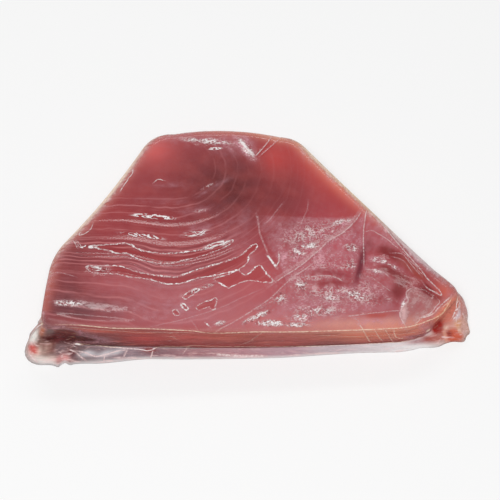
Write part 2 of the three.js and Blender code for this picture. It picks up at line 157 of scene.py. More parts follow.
# Creases of the film: strength of their bright line (pale film, partly a painted highlight), half
# width, height that it stands up, points on the top face.
# Creases that cross are in different sets, because a point knows only the nearest of its set.
CREASES = (
    {
        "apex fold": (0.3, 1.5, 0.6, [
            (51.3, 17.7), (49, 13.3), (46.8, 10.4), (45.1, 7.5), (40.9, 3.8), (35.4, 0), (30.4, -5.3),
            (27.5, -8.6), (23, -12.8), (18.1, -16.1), (14.4, -19.4), (7.6, -24.5),
        ]),
        "right edge crease": (0.65, 0.45, 0.6, [
            (53.2, 17), (57.2, 11.4), (60.3, 7.6), (63.3, 2.9), (66.3, -1.8), (71.2, -8.8),
            (76.1, -15.7), (78.2, -19.4), (81.2, -23), (83.8, -26.6), (83.6, -28.2), (81, -26.4),
            (77.9, -24), (76.1, -20.8),
        ]),
        "steep fold": (0.4, 0.7, 0.4, [(2.9, 11.9), (3.7, 8.1), (4.3, 2.4), (5.5, -1.4), (8, -8.9)]),
        "V left arm": (1.0, 0.8, 0.3, [(7.6, -9.4), (9.7, -12.6), (11.7, -15.8)]),
        "V right arm": (0.8, 0.5, 0.3, [(11.7, -15.3), (12.9, -11.6), (12.7, -8.3)]),
        "back V": (0.9, 1.2, 0.4, [(-5.2, 54), (-1.4, 48.4), (2.1, 43.9)]),
        "back double, outer": (0.7, 0.4, 0.3, [(2.4, 44), (6.6, 49.6), (10.3, 55.6)]),
        "streak below the band": (0.5, 0.5, 0.2, [
            (51.9, -14.5), (55.9, -15.4), (59.1, -16.8), (61.4, -19.1),
        ]),
        "orange streak": (0.45, 0.4, 0.2, [
            (63.3, -6.1), (66.1, -6.5), (68.5, -7.4), (70.7, -10.7), (73.3, -14.4), (75.9, -18),
        ]),
    },
    {
        "lower diagonal": (0.5, 0.5, 0.4, [
            (28.8, -12.2), (24.5, -16), (19.6, -19.8), (14.8, -24.4), (8.7, -30.8), (1.6, -36.2),
            (-7.1, -42.2), (-15.7, -47),
        ]),
        "apex fold, lower": (0.3, 0.4, 0.3, [
            (5, -26.4), (-4.4, -31), (-14, -36), (-30, -41.8), (-42, -45),
        ]),
        "apex fold's edge": (0.6, 0.4, 0.2, [
            (51.6, 16.5), (47.6, 9.9), (41.7, 3.2), (36.2, -0.6), (31.2, -5.9), (23.8, -13.4),
            (15.2, -20), (8.4, -25.1),
        ]),
        "upright fold": (0.6, 0.4, 0.4, [
            (53.3, 16.7), (52.3, 12.4), (51.2, 4.7), (50.9, -3.4), (50.6, -13.6),
        ]),
        "back double, inner": (0.5, 0.4, 0.3, [(4.9, 44.6), (9, 49), (13.6, 54)]),
        "left shoulder fold": (0.8, 0.35, 0.2, [(-53.8, 35.6), (-54, 32.6), (-56, 30)]),
        "left hook": (0.8, 0.35, 0.2, [(-55.6, 29.8), (-57.6, 26.2), (-59, 23.2)]),
        "left loop": (0.7, 0.35, 0.2, [
            (-70.4, 5.4), (-71.2, 2.6), (-74, 0), (-76.2, -0.6), (-75.4, 1.4),
        ]),
        "left tick": (0.7, 0.3, 0.2, [(-78.4, -3.6), (-76.6, -7)]),
        "left tick below": (0.7, 0.3, 0.2, [(-76.6, -3.8), (-74.8, -6.4)]),
        "core hook": (0.8, 0.35, 0.2, [(-43.8, 28.2), (-42, 29.8), (-39.6, 29.4)]),
        "left thin crease": (0.4, 0.35, 0.1, [(-88, -20), (-82, -20.5), (-76.5, -21.9)]),
        "frost ridge": (0.55, 0.5, 0.3, [
            (23.6, -20), (27.6, -19.7), (34.1, -19.1), (38.1, -20), (41.2, -21.3),
        ]),
        "second orange streak": (0.4, 0.4, 0.2, [(63.6, -7.9), (67.9, -9.8), (69.8, -12.1), (72, -15.8)]),
        "star": (1.0, 0.6, 0.2, [(20.4, -23.4), (23.4, -23.9)]),
    },
    {
        "edge of the patch, left": (0.5, 0.5, 0.1, [
            (71.7, -24.2), (68.8, -26.4), (68.6, -29), (69.2, -31), (67, -33.4), (65.3, -36.7),
            (65.8, -40), (67.6, -43.2),
        ]),
        "edge of the patch, right": (0.5, 0.36, 0.1, [
            (82, -29.6), (83, -31.3), (81.1, -33.7), (78.6, -36.8), (74.2, -38.9), (73.2, -40.8),
            (70.8, -42.3),
        ]),
        "curved thin crease": (0.45, 0.4, 0.2, [
            (51.5, 4.7), (54.8, 5.2), (57.6, 3.3), (61.6, 0.5), (64.7, -2.8), (67, -4.6),
        ]),
        "ring line": (0.35, 0.35, 0.1, [(22.1, 4), (24.2, 10.8), (26, 15.6), (26.5, 20)]),
        "thin line": (0.45, 0.4, 0.2, [(29.4, 3.2), (32.7, 4.7), (35.6, 6.4)]),
        "thin slanted line": (0.25, 0.5, 0.1, [(6.1, 6.7), (9, 9.6), (11.9, 14), (14.9, 18.4)]),
        "streak beside the patch": (0.45, 0.35, 0.2, [(53.4, -18.7), (57.6, -22.7), (61.8, -26.3)]),
        "short streak": (0.2, 0.4, 0.1, [(60.5, -21.4), (65.2, -22.2), (67.6, -23.1)]),
        "pinkish line": (0.5, 0.4, 0.2, [(41.7, -38.6), (50, -37.6), (58, -36.4), (66, -35.6)]),
        "short steep line": (0.4, 0.35, 0.2, [(42.6, -38.4), (46.9, -40.6), (47.2, -42.8)]),
        "blob, left": (1.0, 0.6, 0.3, [(-18.9, -42.9), (-17.6, -44.2)]),
        "blob, right": (1.0, 0.7, 0.3, [(-14.8, -43), (-12.6, -41.6)]),
    },
)

# The loose film over the right half of the face, and the frosted patch by its right corner, each
# as one closed line of points.
VEIL = [
    (1.5, 11), (14, 11.2), (30, 11.4), (47, 12), (53, 17), (60.9, 7.5), (67.2, -1.5), (73.3, -11),
    (79, -19), (84, -27), (82, -38), (60, -46), (20, -48), (-2, -48), (8, -38), (16, -28), (13, -14),
    (8, -4), (5, 4),
]
FROSTED_PATCH = [
    (71.7, -24.1), (68.8, -26.4), (68.6, -29), (69.2, -31), (67, -33.4), (65.2, -36.7), (65.7, -40),
    (67.4, -43.2), (71, -42.2), (73.4, -40.6), (74.2, -38.8), (78.6, -36.8), (81.1, -33.7),
    (83.2, -31.2), (78.8, -28.8), (74.6, -25.8),
]

# Marks on the sides, as the creases above, but their points are mm round the outline from the front
# left corner, minus on the left side, and mm past the cut edge, minus on the top face.
SIDE_CREASES = (
    {
        "lip line": (0.8, 0.3, 0.1, [
            (6.7, -0.4), (18.3, -0.7), (32.3, -0.3), (44.4, -0.6), (63.3, -0.5), (73.1, 0.2),
            (89.4, -0.4), (105.5, -0.3), (127.2, -0.5), (148.8, -0.5), (165.5, -0.7),
            (172.5, -0.2), (179.9, -0.1),
        ]),
        "foot line": (0.75, 0.35, 0.2, [
            (9.2, 12), (14.4, 14.5), (23.4, 15.6), (39.9, 16.4), (45.4, 16.6), (51.6, 13.4),
            (61.3, 12.8), (64, 11.4), (76.2, 11.4), (89.3, 11.4), (111.2, 11.8), (124.4, 11.3),
            (142, 10.8), (155.2, 10.4), (164.9, 10.2),
        ]),
        "tab rim": (0.6, 0.4, 0.2, [(192, 1), (190, 6.7), (188.8, 10.6), (186.3, 15.8)]),
        "left slope rim": (0.55, 0.5, 0.2, [(-36, -0.2), (-60, 0.2), (-84, 0), (-108, 0.2)]),
        "ear rim": (0.85, 0.4, 0.2, [(-0.6, 1.6), (-2.3, 6.4), (-3.1, 11.4), (-3, 16), (-2, 19.6)]),
        "ear's foot": (0.6, 0.5, 0.1, [(-0.4, 19.4), (0.4, 20.4), (1, 21.6)]),
    },
    {
        "second lip line": (0.45, 0.35, 0.2, [
            (9.4, 0.8), (18.9, 0.8), (25, 0.9), (33.3, 1.2), (40.8, 1.8), (49.4, 1.2), (60.2, 0.6),
            (67.7, 0.5),
        ]),
        "low line": (0.5, 0.35, 0.2, [
            (117, 2.8), (122, 2.2), (132.8, 3.6), (140.4, 3.7), (149.1, 3.5), (158, 3.3), (164, 4.4),
        ]),
        "strip line": (0.35, 0.4, 0.2, [(196, -0.2), (206, 0.5), (214, 0.4), (222, 1.2), (229, 0.6)]),
        "strip line, upper": (0.3, 0.4, 0.2, [(226, 2), (234, 1.2), (246, 1)]),
        "web, upper": (0.55, 0.5, 0.2, [
            (12.7, 16.9), (16.9, 19.2), (21.3, 20.6), (25.6, 19.4), (31.1, 17.6), (35.5, 16.9),
        ]),
        "pinch": (0.5, 0.4, 0.3, [(54.2, 3.8), (56, 4.2), (57.8, 6.5)]),
        "hem smear": (0.6, 0.9, 0.1, [(74, 16.2), (84, 16.6), (96, 16.8)]),
    },
    {
        "slant": (0.5, 0.35, 0.25, [(95.5, -1.5), (94.4, -0.1), (91.9, 2.5), (89.3, 6.1), (84.9, 9.7)]),
        "lip fold": (0.3, 0.4, 0.2, [(63.9, -5), (65.5, -3), (67.2, -0.2)]),
        "tick 1": (0.6, 0.5, 0.2, [(135.8, -3.4), (138.3, -0.4), (141.9, 9.1)]),
        "tick 2": (0.55, 0.5, 0.2, [(143.3, -0.6), (145.2, 4), (147.4, 8.7)]),
        "tick 3": (0.6, 0.5, 0.2, [(147.7, -0.9), (149.7, 4), (151.8, 9)]),
        "tick 4": (0.6, 0.5, 0.2, [(151.6, -0.5), (153, 5.4), (156.6, 7.4)]),
        "tick 5": (0.4, 0.35, 0.2, [(156.6, -0.6), (157.8, 2.6)]),
        "gather 1": (0.5, 0.4, 0.3, [(184, -1.6), (178.6, -0.6), (174.6, 0.5), (171.5, 2)]),
        "gather 3": (0.7, 0.4, 0.4, [(187.5, 1), (185, 2), (182.8, 3.6), (180.6, 4.8), (178.7, 5.8)]),
        "gather 4": (0.65, 0.4, 0.4, [(186.6, 2.8), (185.9, 4), (183.7, 5.1), (180.3, 7.1), (179.2, 8.6)]),
        "gather 5": (0.6, 0.4, 0.3, [(191, 2.4), (189.2, 7.6), (188.4, 11)]),
        "gather 6": (0.7, 0.35, 0.3, [(184, -2.4), (177, -2.8), (171, -2), (164, -2.8)]),
        "web, left": (0.55, 0.5, 0.2, [(10.2, 15.5), (12.7, 17.6), (14.8, 20.3), (17.5, 22.8)]),
        "web, middle": (0.5, 0.5, 0.1, [(25.6, 19.6), (25.2, 22.3)]),
        "web, right": (0.45, 0.6, 0.1, [(35.5, 16.7), (33.4, 20.8)]),
        "hem tick": (0.5, 0.5, 0.1, [(46.7, 16.6), (45.6, 20.2)]),
        "hem curve": (0.4, 0.4, 0.1, [(63, 12.4), (60.2, 16.4)]),
        "foot glint": (1.0, 0.6, 0.2, [(13, 13.7), (15.4, 15)]),
    },
)

# Colours of the flesh, 0 to 255: all over the top face, then zones of it as x, y, half sizes,
# turn, colour and strength.
FLESH_BASE = (158, 58, 62)
POOL_TONE, POOL_SHARE = (162, 34, 36), 0.5  # flesh seen clear through an air pool
FLESH_ZONES = [
    (30, -6, 30, 26, 0, (184, 66, 80), 0.85),  # under the crumpled film
    (-30, -26, 44, 15, 0, (176, 90, 96), 0.8),  # front of the flakes
    (2, -24, 16, 14, 20, (190, 92, 98), 0.6),  # between the folds
    (5, -40, 60, 9, 3, (182, 102, 108), 0.8),  # towards the front edge
    (-50, 10, 28, 13, 0, (144, 38, 44), 0.8),  # back of the flakes
    (-8, 26, 26, 21, 0, (92, 14, 18), 1.0),  # dark middle
    (12, 20, 14, 26, 0, (128, 36, 40), 0.75),  # right of it
    (10.6, 9, 5, 5, 0, (166, 66, 70), 0.6),  # where the loose film starts
    (-45, 47, 9, 8, 0, (212, 92, 90), 0.9),  # back left shoulder
    (12, 44, 8, 10, 0, (196, 62, 58), 0.8),  # behind the dark middle
    (-2, 60, 46, 5, 0, (206, 120, 112), 0.8),  # back edge
    (31, 37, 26, 9, -49, (186, 58, 56), 0.9),  # right shoulder
    (39.8, 30.4, 25, 3.6, -49, (228, 118, 96), 0.9),  # its pale edge
    (-80, -31, 11, 13, 0, (100, 38, 42), 0.8),  # left end
    (-74, -36.6, 22, 6, 0, (94, 42, 48), 0.8),  # front left
    (-78, -10, 8, 14, 0, (118, 38, 42), 0.75),  # back of the left end
    (54, -42.6, 34, 3.8, 2, (232, 170, 150), 0.9),  # front edge, right
    (10, -41, 18, 4, 0, (200, 112, 112), 0.7),  # front edge, middle
    (53.6, -1, 2, 4, 8, (140, 46, 54), 0.9),  # painted shade in the dent beside the upright fold
    (60, -28, 7, 5, 0, (150, 48, 56), 0.8),  # left of the patch
    (87, -26, 6, 6, -40, (206, 96, 78), 0.9),  # right corner
]
# Bands of darker flesh that show where the film lies clear, and painted shade in hollows and beside
# folds: half width, colour, strength, points.
DARK_BANDS_AND_SHADE = {
    "upper": (2.3, (128, 22, 26), 1.3, [
        (54, -4.4), (57.2, -4.4), (61.4, -5), (64.6, -7.1), (67.2, -9.4), (70, -12.6),
    ]),
    "inside the right edge": (2.0, (150, 52, 42), 1.2, [
        (65, -7), (69, -10.6), (73, -14.6), (77.2, -19.5), (79.6, -22.6),
    ]),
    "middle": (2.3, (128, 28, 36), 1.3, [
        (55, -12.4), (57.2, -13.3), (60.2, -14.8), (64.1, -16.8), (67.3, -19.6), (69, -22),
    ]),
    "above the patch": (3.2, (122, 32, 38), 1.15, [(69.4, -15.6), (67.6, -20.6), (65, -26), (61, -31)]),
    "in the crease's tail": (1.1, (128, 16, 18), 1.3, [
        (75.5, -20.5), (77.1, -22), (79.9, -25.3), (82.4, -27.4),
    ]),
    "beside the patch": (1.5, (124, 24, 30), 1.3, [
        (72, -21), (74.8, -23.3), (80, -28.3), (84.9, -30.2), (87.4, -31.4),
    ]),
    # Painted shade in the hollow by the upright fold.
    "hollow by the upright fold": (1.5, (118, 36, 50), 1.1, [
        (51.6, 2), (50.9, -4), (49.8, -10), (48.6, -15), (47, -21), (45.4, -27),
    ]),
    "under the frost ridge": (1.9, (142, 36, 46), 0.75, [
        (20, -17.4), (26, -17.6), (33, -17), (40, -18), (47, -19.4), (50, -20),
    ]),
    "below the frost ridge": (1.8, (138, 32, 40), 0.8, [
        (24, -23), (31, -22.6), (38, -22), (45, -22.6), (50, -24),
    ]),
    "over the front band": (1.4, (184, 78, 70), 0.9, [(48, -38.4), (56, -38), (63, -37)]),
}

# The cut edge's colour by place, the width of its band on the top face, and the foot's colour.
RIM_TONES = [
    (0.0, 120, 60, 58, 2), (0.1, 140, 66, 60, 1.5), (0.4, 160, 78, 70, 1.5), (0.6, 176, 92, 80, 2),
    (0.8, 210, 124, 98, 3), (1.0, 200, 104, 88, 4), (1.3, 196, 96, 84, 3), (1.6, 240, 164, 122, 2.4),
    (1.95, 244, 184, 148, 3.4), (2.12, 242, 180, 150, 3.8), (2.4, 216, 130, 110, 3), (2.8, 206, 116, 104, 3),
    (3.0, 206, 104, 90, 4), (3.4, 206, 116, 96, 4), (3.8, 194, 106, 86, 3.8),
    (3.94, 184, 94, 78, 3.4), (4.0, 120, 60, 58, 2),
]
FOOT_TONES = [
    (0.0, 80, 34, 34), (0.08, 80, 34, 32), (0.2, 104, 48, 46), (0.3, 126, 50, 48),
    (0.4, 160, 58, 54), (0.55, 154, 66, 60), (0.65, 128, 60, 58), (0.75, 170, 84, 76),
    (0.9, 188, 96, 84), (1.0, 196, 84, 66), (1.3, 150, 60, 56), (2.0, 150, 70, 62),
    (3.0, 140, 60, 56), (3.8, 110, 48, 46), (4.0, 80, 34, 34),
]
# Zones of the flesh's side: mm round and past the cut edge, half sizes, turn, colour, strength.
FLESH_SIDE_ZONES = [
    (24, 2.4, 20, 1.2, -1, (196, 82, 60), 0.85),  # orange under the lip
    (22, 9, 17, 4.4, 0, (74, 20, 20), 0.95),  # brown behind the left hem
    (44, 7.6, 11, 4.6, 0, (172, 40, 38), 0.95),  # red patch
    (56, 9.6, 6, 2.4, 0, (124, 30, 30), 0.7),
    (64, 5, 8, 4, 0, (190, 74, 70), 0.75),
    (78, 3, 12, 3, 0, (180, 80, 64), 0.7),
    (80, 8.6, 14, 1.4, 4, (120, 40, 34), 0.7),  # dark streak near the foot
    (111, 7, 14, 3, 0, (158, 66, 62), 0.8),
    (141, 0.6, 24, 1.4, 0, (222, 156, 130), 0.75),  # peach lip
    (146, 4.4, 20, 2.4, 0, (206, 112, 80), 0.8),
    (151, 8.8, 14, 1.2, 0, (162, 66, 50), 0.7),
    (171, 6.5, 4, 4, 0, (170, 44, 36), 0.8),  # red of the corner
    (177, 11, 4, 4.5, 0, (204, 74, 52), 0.9),  # orange lump
    (9, 8, 5, 4, 0, (74, 30, 30), 0.8),  # painted shade in the hollow of the left end
]

# The film's colour where it clings. On the hem by place: colour, whose greys are partly painted shade
# from under the steak's edge, and how much it hides. Then zones of its side: mm round and past the cut
# edge, half sizes, turn, colour, hiding and strength; some of them paint light and shade.
FILM_TONE, PATCH_TONE = (236, 172, 184), (222, 176, 176)
HEM_TONES = [
    (0.0, 176, 138, 128, 0.85), (0.04, 136, 98, 96, 0.85), (0.09, 114, 82, 86, 0.85),
    (0.14, 130, 106, 114, 0.85), (0.2, 144, 118, 128, 0.8), (0.26, 140, 92, 102, 0.8),
    (0.34, 168, 108, 116, 0.75), (0.45, 190, 130, 140, 0.75), (0.55, 194, 148, 160, 0.75),
    (0.66, 212, 190, 198, 0.7), (0.76, 238, 226, 230, 0.8), (0.86, 255, 250, 250, 0.92),
    (0.93, 236, 192, 180, 0.6), (1.0, 230, 170, 150, 0.75), (1.1, 210, 150, 150, 0.5),
    (1.5, 205, 170, 170, 0.4), (3.5, 205, 180, 175, 0.45), (3.9, 215, 190, 180, 0.6),
    (4.0, 176, 138, 128, 0.85),
]
HEM_EDGE_TONE, HEM_EDGE_STRENGTH = (255, 250, 250), 0.85
HEM_EDGE_RUN = ((-3, 2), (174, 166))  # the white edge fades in and out over these mm round
HEM_EDGE_FROM = (0.8, 0.6)  # share of the slope where it starts, at the left ear and past it
HEM_EDGE_WIDENS = (8, 26)
HEM_EASE = (-0.15, 0.1)  # share of the slope over which the wall turns into the hem
FILM_SIDE_ZONES = [
    (9, 5.4, 7, 3.6, 0, (104, 36, 36), 0.96, 1.6),  # the wall behind the left ear
    (14, 9.8, 9, 2.6, 0, (82, 20, 22), 0.96, 1.9),
    (6.6, 15.2, 3.2, 2.8, 0, (130, 98, 102), 0.9, 1.2),
    (5, 10, 1.8, 1.3, 0, (112, 44, 48), 0.92, 1.3),
    (2.6, 13.4, 1.5, 3.6, 0, (142, 92, 82), 0.92, 1.4),  # brown fan, its stripes painted light and shade of its pleats
    (2.1, 14.2, 0.35, 2.8, 4, (204, 166, 154), 0.9, 0.7),
    (3.0, 13.8, 0.35, 2.6, 8, (184, 136, 124), 0.9, 0.6),
    (3.9, 13.2, 0.5, 2.6, 8, (118, 58, 54), 0.9, 0.9),
    (1.0, 16.2, 0.5, 2.4, 0, (240, 218, 204), 0.92, 1.2),
    (-2.6, 1.0, 3.4, 1.7, 0, (150, 76, 72), 0.95, 1.7),
    (-2.4, 4, 1.6, 3, 0, (184, 120, 102), 0.92, 1.4),
    (0.7, 11.6, 0.35, 2.2, 0, (112, 62, 44), 0.9, 1.1),
    (3, 4.6, 1.6, 1.8, 0, (112, 86, 86), 0.88, 1.3),  # grey crumple
    (3.0, 8.6, 2.6, 1.4, 0, (74, 16, 16), 0.97, 1.8),  # painted shade in a hollow
    (0.2, 5.6, 0.7, 2.2, 0, (184, 100, 70), 0.9, 1.3),
    (-3.4, 9.6, 1.3, 6.4, 0, (176, 104, 92), 0.95, 1.6),  # outline of the ear
    (-8, 15, 3, 3, 0, (200, 116, 108), 0.9, 1.2),  # behind the ear
    (-1.1, 12.4, 0.9, 3.8, 0, (255, 250, 244), 1.0, 2.0),  # white fold, its brightness partly a painted highlight
    (0.1, 17.3, 0.8, 2.7, 0, (216, 82, 74), 0.95, 1.8),  # red patch behind it
    (2.4, 19.8, 2.4, 1.6, 0, (244, 226, 216), 0.9, 1.6),
    (7.6, 19.8, 3.2, 1.6, 0, (230, 156, 154), 0.88, 1.4),
    (12, 18.6, 3.4, 1.2, 60, (100, 32, 38), 0.95, 1.6),  # dark fold
    (18, 19.6, 4, 1.4, 0, (232, 228, 234), 0.85, 0.9),  # white smears on the hem
    (26, 19, 3.6, 1.2, -20, (236, 232, 238), 0.85, 0.9),
    (31, 18, 3, 1, -20, (232, 226, 232), 0.85, 0.8),
    (45, 16.4, 3, 1.3, 0, (138, 34, 36), 0.85, 1.3),  # drip under the red patch
    (-72, 0.8, 44, 3.4, 0, (255, 226, 206), 0.95, 1.5),  # pale rim of the left slope, with painted light on the edge's shaded roll
    (217, -0.4, 24, 3.2, 0, (242, 212, 216), 0.8, 1.4),  # slack strip down the right side
    (244, 0.4, 8, 1.8, 0, (226, 184, 172), 0.6, 1.0),
    # Cream along the right slope's edge, with painted light on its shaded roll.
    (262, 1.6, 30, 3.6, 0, (255, 220, 186), 0.93, 1.5),
    (283, 1.6, 14, 4, 0, (255, 226, 200), 0.95, 1.5),
    (179, 0.8, 9, 2.6, 0, (228, 136, 114), 1.0, 2.2),  # gathers of the right corner
    (180, 3.8, 10, 4.4, 0, (214, 122, 104), 0.9, 1.6),
    (196, 4, 7, 5, 0, (214, 160, 158), 0.55, 1.0),
    (192, 3, 2, 2, 0, (244, 218, 200), 0.9, 1.2),
    (190, 5.2, 1.2, 2, 0, (146, 48, 40), 0.92, 1.4),  # notch above the tab
    (186.5, 8.8, 1.8, 3, 0, (220, 150, 144), 0.92, 1.6),  # right tab
    (181.7, 6.6, 2.6, 0.9, -29, (222, 206, 218), 0.92, 1.5),
    (179.6, 9.6, 1.5, 1.5, 0, (232, 166, 120), 0.94, 1.5),
    # Painted shadow along the wall's foot.
    (163, 8.8, 6.4, 0.9, 25, (140, 50, 40), 0.85, 1.1),
    (164, 12, 7, 1.4, 10, (196, 144, 148), 0.8, 1.1),
    (172.4, 7.4, 2.6, 4.2, 0, (158, 34, 28), 0.97, 2.0),  # red corner
    (168.4, 11.8, 3.4, 1.5, 10, (168, 70, 62), 0.9, 1.5),
    (172, 13, 4, 2, 0, (196, 108, 94), 0.85, 1.0),
    (167.8, 6.6, 0.9, 0.8, 0, (252, 228, 200), 0.95, 1.5),
    (176.4, 14.2, 2.3, 3.5, 0, (208, 92, 64), 0.98, 2.0),  # orange lump beside it
    (175.4, 12.6, 0.7, 1.5, 0, (146, 34, 24), 0.95, 1.3),
    (173.8, 13.2, 0.5, 3.2, 8, (226, 156, 134), 0.92, 1.3),
    (175.4, 9.2, 0.7, 0.8, 0, (248, 206, 186), 0.92, 1.3),
    (178.6, 12.6, 0.5, 1.6, 0, (242, 204, 176), 0.9, 1.0),
]

# How milky the film is, with painted sheen and reflection in many of its zones, over zones of the top
# face: x, y, half sizes, turn, strength. The right half lies under a looser sheet, so its zones end at
# the veil's edge.
CLING_HAZE, WALL_HAZE, VEIL_HAZE, PATCH_HAZE = 0.02, 0.012, 0.09, 0.21
LEFT_HAZE_AND_SHEEN_ENDS = (8, -4)
POOL_HAZE, POOL_HAZE_EDGE = 0.15, (-0.5, 0.3)  # share of the haze that an air pool keeps
LEFT_HAZE_AND_SHEEN = [
    (-72, -34, 14, 5, 0, 0.05), (-35, -36, 26, 8, 0, 0.16), (-66, -20, 9, 5, 0, 0.03),
    (-8, 3, 13, 9, 20, 0.1), (-30, 54, 30, 4, 0, 0.14), (-37, 27, 8, 1.3, 2, 0.14),
    (-39, 18, 12, 1.4, -2, 0.08), (-17, 26, 8, 1.2, 35, 0.16), (-24, 13.5, 7, 2, 12, 0.14),
    (-22, 4, 6, 2.4, 14, 0.22), (-44, -1, 8, 1.4, -6, 0.02), (0, -12, 8, 6, 20, 0.2),
    (-3, -5, 7, 6, 10, 0.12), (-13, -3.6, 8, 2.2, 22, 0.08), (-1, 9, 9, 6, 30, 0.12),
    (-6, 50.6, 14, 5, -10, 0.3), (-67, -8, 8, 2, 0, 0.03), (-40, -24, 30, 12, -6, 0.08),
    (9, 7, 9, 5, 50, 0.12), (-2.6, 49, 7.5, 2.4, -54, 0.75), (-20, 52.6, 13, 2, -4, 0.3),
    (-1, 53, 4.4, 2.2, -20, 0.45),
]
RIGHT_HAZE_AND_SHEEN = [
    (30, 3, 20, 9, 5, 0.18), (20, -8, 11, 9, 30, 0.16), (12, -18, 14, 5, 40, 0.12),
    (27, -11, 13, 8, 20, 0.42),
    (48, -26, 16, 5, 4, 0.22), (30, -33, 26, 6, 0, 0.2), (38, 6, 12, 4, 30, 0.16),
    (14.9, -10.6, 2.6, 5, 0, 0.5), (43.5, 8.4, 7, 2, 24, 0.3), (58, -10.4, 5, 1.6, -20, 0.35),
    (64, -13.2, 5, 1.2, -28, 0.3), (56, -15.7, 6, 1.3, -20, 0.35), (46, -8, 4, 8, 0, 0.2),
    (50, 9, 4, 6, 60, 0.2), (57, 3, 8, 6, -40, 0.12), (36, -29, 5, 1.6, -5, 0.4),
    (22.5, -39.5, 6, 2, 0, 0.35), (40.4, -32, 14, 6, 0, 0.1), (67, -37.2, 1.4, 5.6, -4, 0.7),
    (69, -29, 1.3, 4, -24, 0.3), (54, -40.6, 12, 2.4, 2, 0.16), (43, 1, 10, 4.4, 20, 0.26),
    (12, 9, 5, 4, 0, 0.14), (51, 0, 11, 4, 0, 0.24),
]
CLEAR_ZONES = [  # where the film stands off and shows the flesh
    (53.6, -1, 2.2, 4.4, 8, 0.7), (24, -14, 4, 3, 40, 0.6), (87, -25, 6, 6, -40, 0.8),
    (68, -21.4, 5, 2.6, -35, 0.9),
]
FROST_ZONES = [  # where it is frosted with crumples, their flecks partly painted sparkle
    (36, -22, 34, 20, 0, 0.6), (28, 2, 22, 11, 20, 0.65), (21.4, -7.7, 5, 4, 30, 0.95),
    (26.4, -3.9, 6, 2.4, 0, 0.95), (46.2, -28.1, 7, 3.4, -5, 1.0), (36.2, -29.1, 6, 2, -4, 1.0),
    (58, -10.3, 5, 2, -20, 0.95), (64, -13.3, 5, 1.4, -28, 0.9), (56, -15.7, 6, 1.6, -20, 0.85),
    (45.5, -4, 4.6, 3, 0, 0.85), (45, -13, 4, 4, 0, 0.8), (22.4, -23.6, 4, 3, 0, 0.95),
    (13.5, -30.3, 3.6, 4, 0, 0.9), (3, -39.4, 9, 1.6, 27, 1.0), (9, -42.4, 7, 1.8, 0, 1.3),
    (20, -43, 8, 1.4, 0, 1.0), (-13, -42.6, 4, 2, 20, 0.8), (-79, -34.8, 9, 1.7, 3, 1.0),
    (-56, -37, 12, 1.6, 0, 0.5), (-2, 49, 8, 2.4, -54, 1.0), (-20, 52.4, 14, 2, -4, 1.0),
    (-66, -17.6, 6, 2.6, 0, 0.8),
    (-22, -26.4, 10, 1.4, 24, 0.9), (74, -31, 7, 6, -20, 0.7), (41, 9, 9, 2.4, 20, 0.8),
    (67.2, -36, 1.8, 7, -6, 1.1), (-4, -44, 12, 2, 0, 0.4), (-44, -41, 14, 2, 4, 0.35),
    (52, -30, 20, 5, 0, 0.6),
    (22.5, -39.5, 8, 2.4, 0, 0.9), (8, -33, 14, 3, 30, 0.55), (30, -36, 16, 4, 0, 0.7),
]
GLINT_ZONES = [  # where painted glints run along the flakes
    (-43.5, 9.7, 11, 1.3, -4, 1.0), (-48, -0.4, 14, 1.8, -8, 0.68), (-24, 1.6, 10, 2.4, 12, 0.6),
    (-15, -4.2, 9, 2.0, 20, 0.7), (-16.5, 48.2, 4, 0.8, 5, 1.0), (-72, -6.6, 4, 1.2, 0, 0.9),
    (-28, 52.4, 8, 1.6, 0, 0.5), (-67.6, -17.4, 3, 1.6, 0, 0.8),
    (-19, 27, 8, 1.4, 35, 0.45), (-22, 13.5, 7, 1.6, 12, 0.45),
]
PATCH_CALM, CLEAR_CALM = 0.8, 0.6  # share of the frost that the patch and clear film lose
PATCH_GRAIN = 0.12  # how grainy the patch's haze is
FROST_LEFT_OF, FROST_EDGE = 16, (0.3, -0.6)  # right of this x, frost stays within the veil

# Where the seams show: from which ring, up to which x and how far from the edge. Then where they
# are dimmer: x where that starts, where it is full, and the share left. Last, behind the core.
SEAMS_FROM, SEAMS_END, SEAMS_EDGE = (13, 20), (20, 45), 5
SEAMS_DIMMER = ((-20, 5, 0.45), (2, 20, 0.5))
BEHIND_X, BEHIND_Y, BEHIND_SHARE = (-30, -20), (6, 16), 0.4

# Seam lines across one flake, by its number's fraction: the two that every flake has, the ones
# between them that only the outer flakes have, and the darker flesh between them all.
PALE_STOPS = [(0, 0), (0.23, 0), (0.3, 0.75), (0.37, 0), (0.74, 0), (0.8, 0.6), (0.86, 0), (1, 0)]
MORE_STOPS = [
    (0, 0), (0.15, 0), (0.2, 0.7), (0.25, 0), (0.35, 0), (0.4, 0.9), (0.45, 0), (0.54, 0), (0.6, 1.0),
    (0.66, 0), (0.76, 0), (0.8, 0.8), (0.85, 0), (1, 0),
]
DARK_STOPS = [
    (0, 0.2), (0.14, 0.8), (0.2, 0.2), (0.3, 0.9), (0.4, 0.3), (0.5, 1.0), (0.6, 0.2), (0.7, 0.9),
    (0.8, 0.2), (0.9, 0.7), (1, 0.2),
]
SEAM_TONE, DEEP_TONE, LIVELY_TONE = (200, 122, 124), (112, 34, 40), (188, 84, 80)
WALL_DARK, WALL_LIGHT = (112, 26, 26), (214, 116, 98)
# Colours of the film's bright marks, which are mostly painted highlights and partly white frost.
MARK_DIM, MARK_DIM_WARM, MARK_WARM = (230, 176, 172), (244, 186, 142), (255, 238, 216)
MARK_BRIGHT = (1, 0.97, 0.97, 1)

# Gloss, each set on the shader's own socket.
FLESH_ROUGHNESS, FLESH_SPECULAR, COAT_ROUGHNESS = 0.45, 0.25, 0.1
FILM_ROUGHNESS, FILM_SPECULAR = 0.25, 0.15

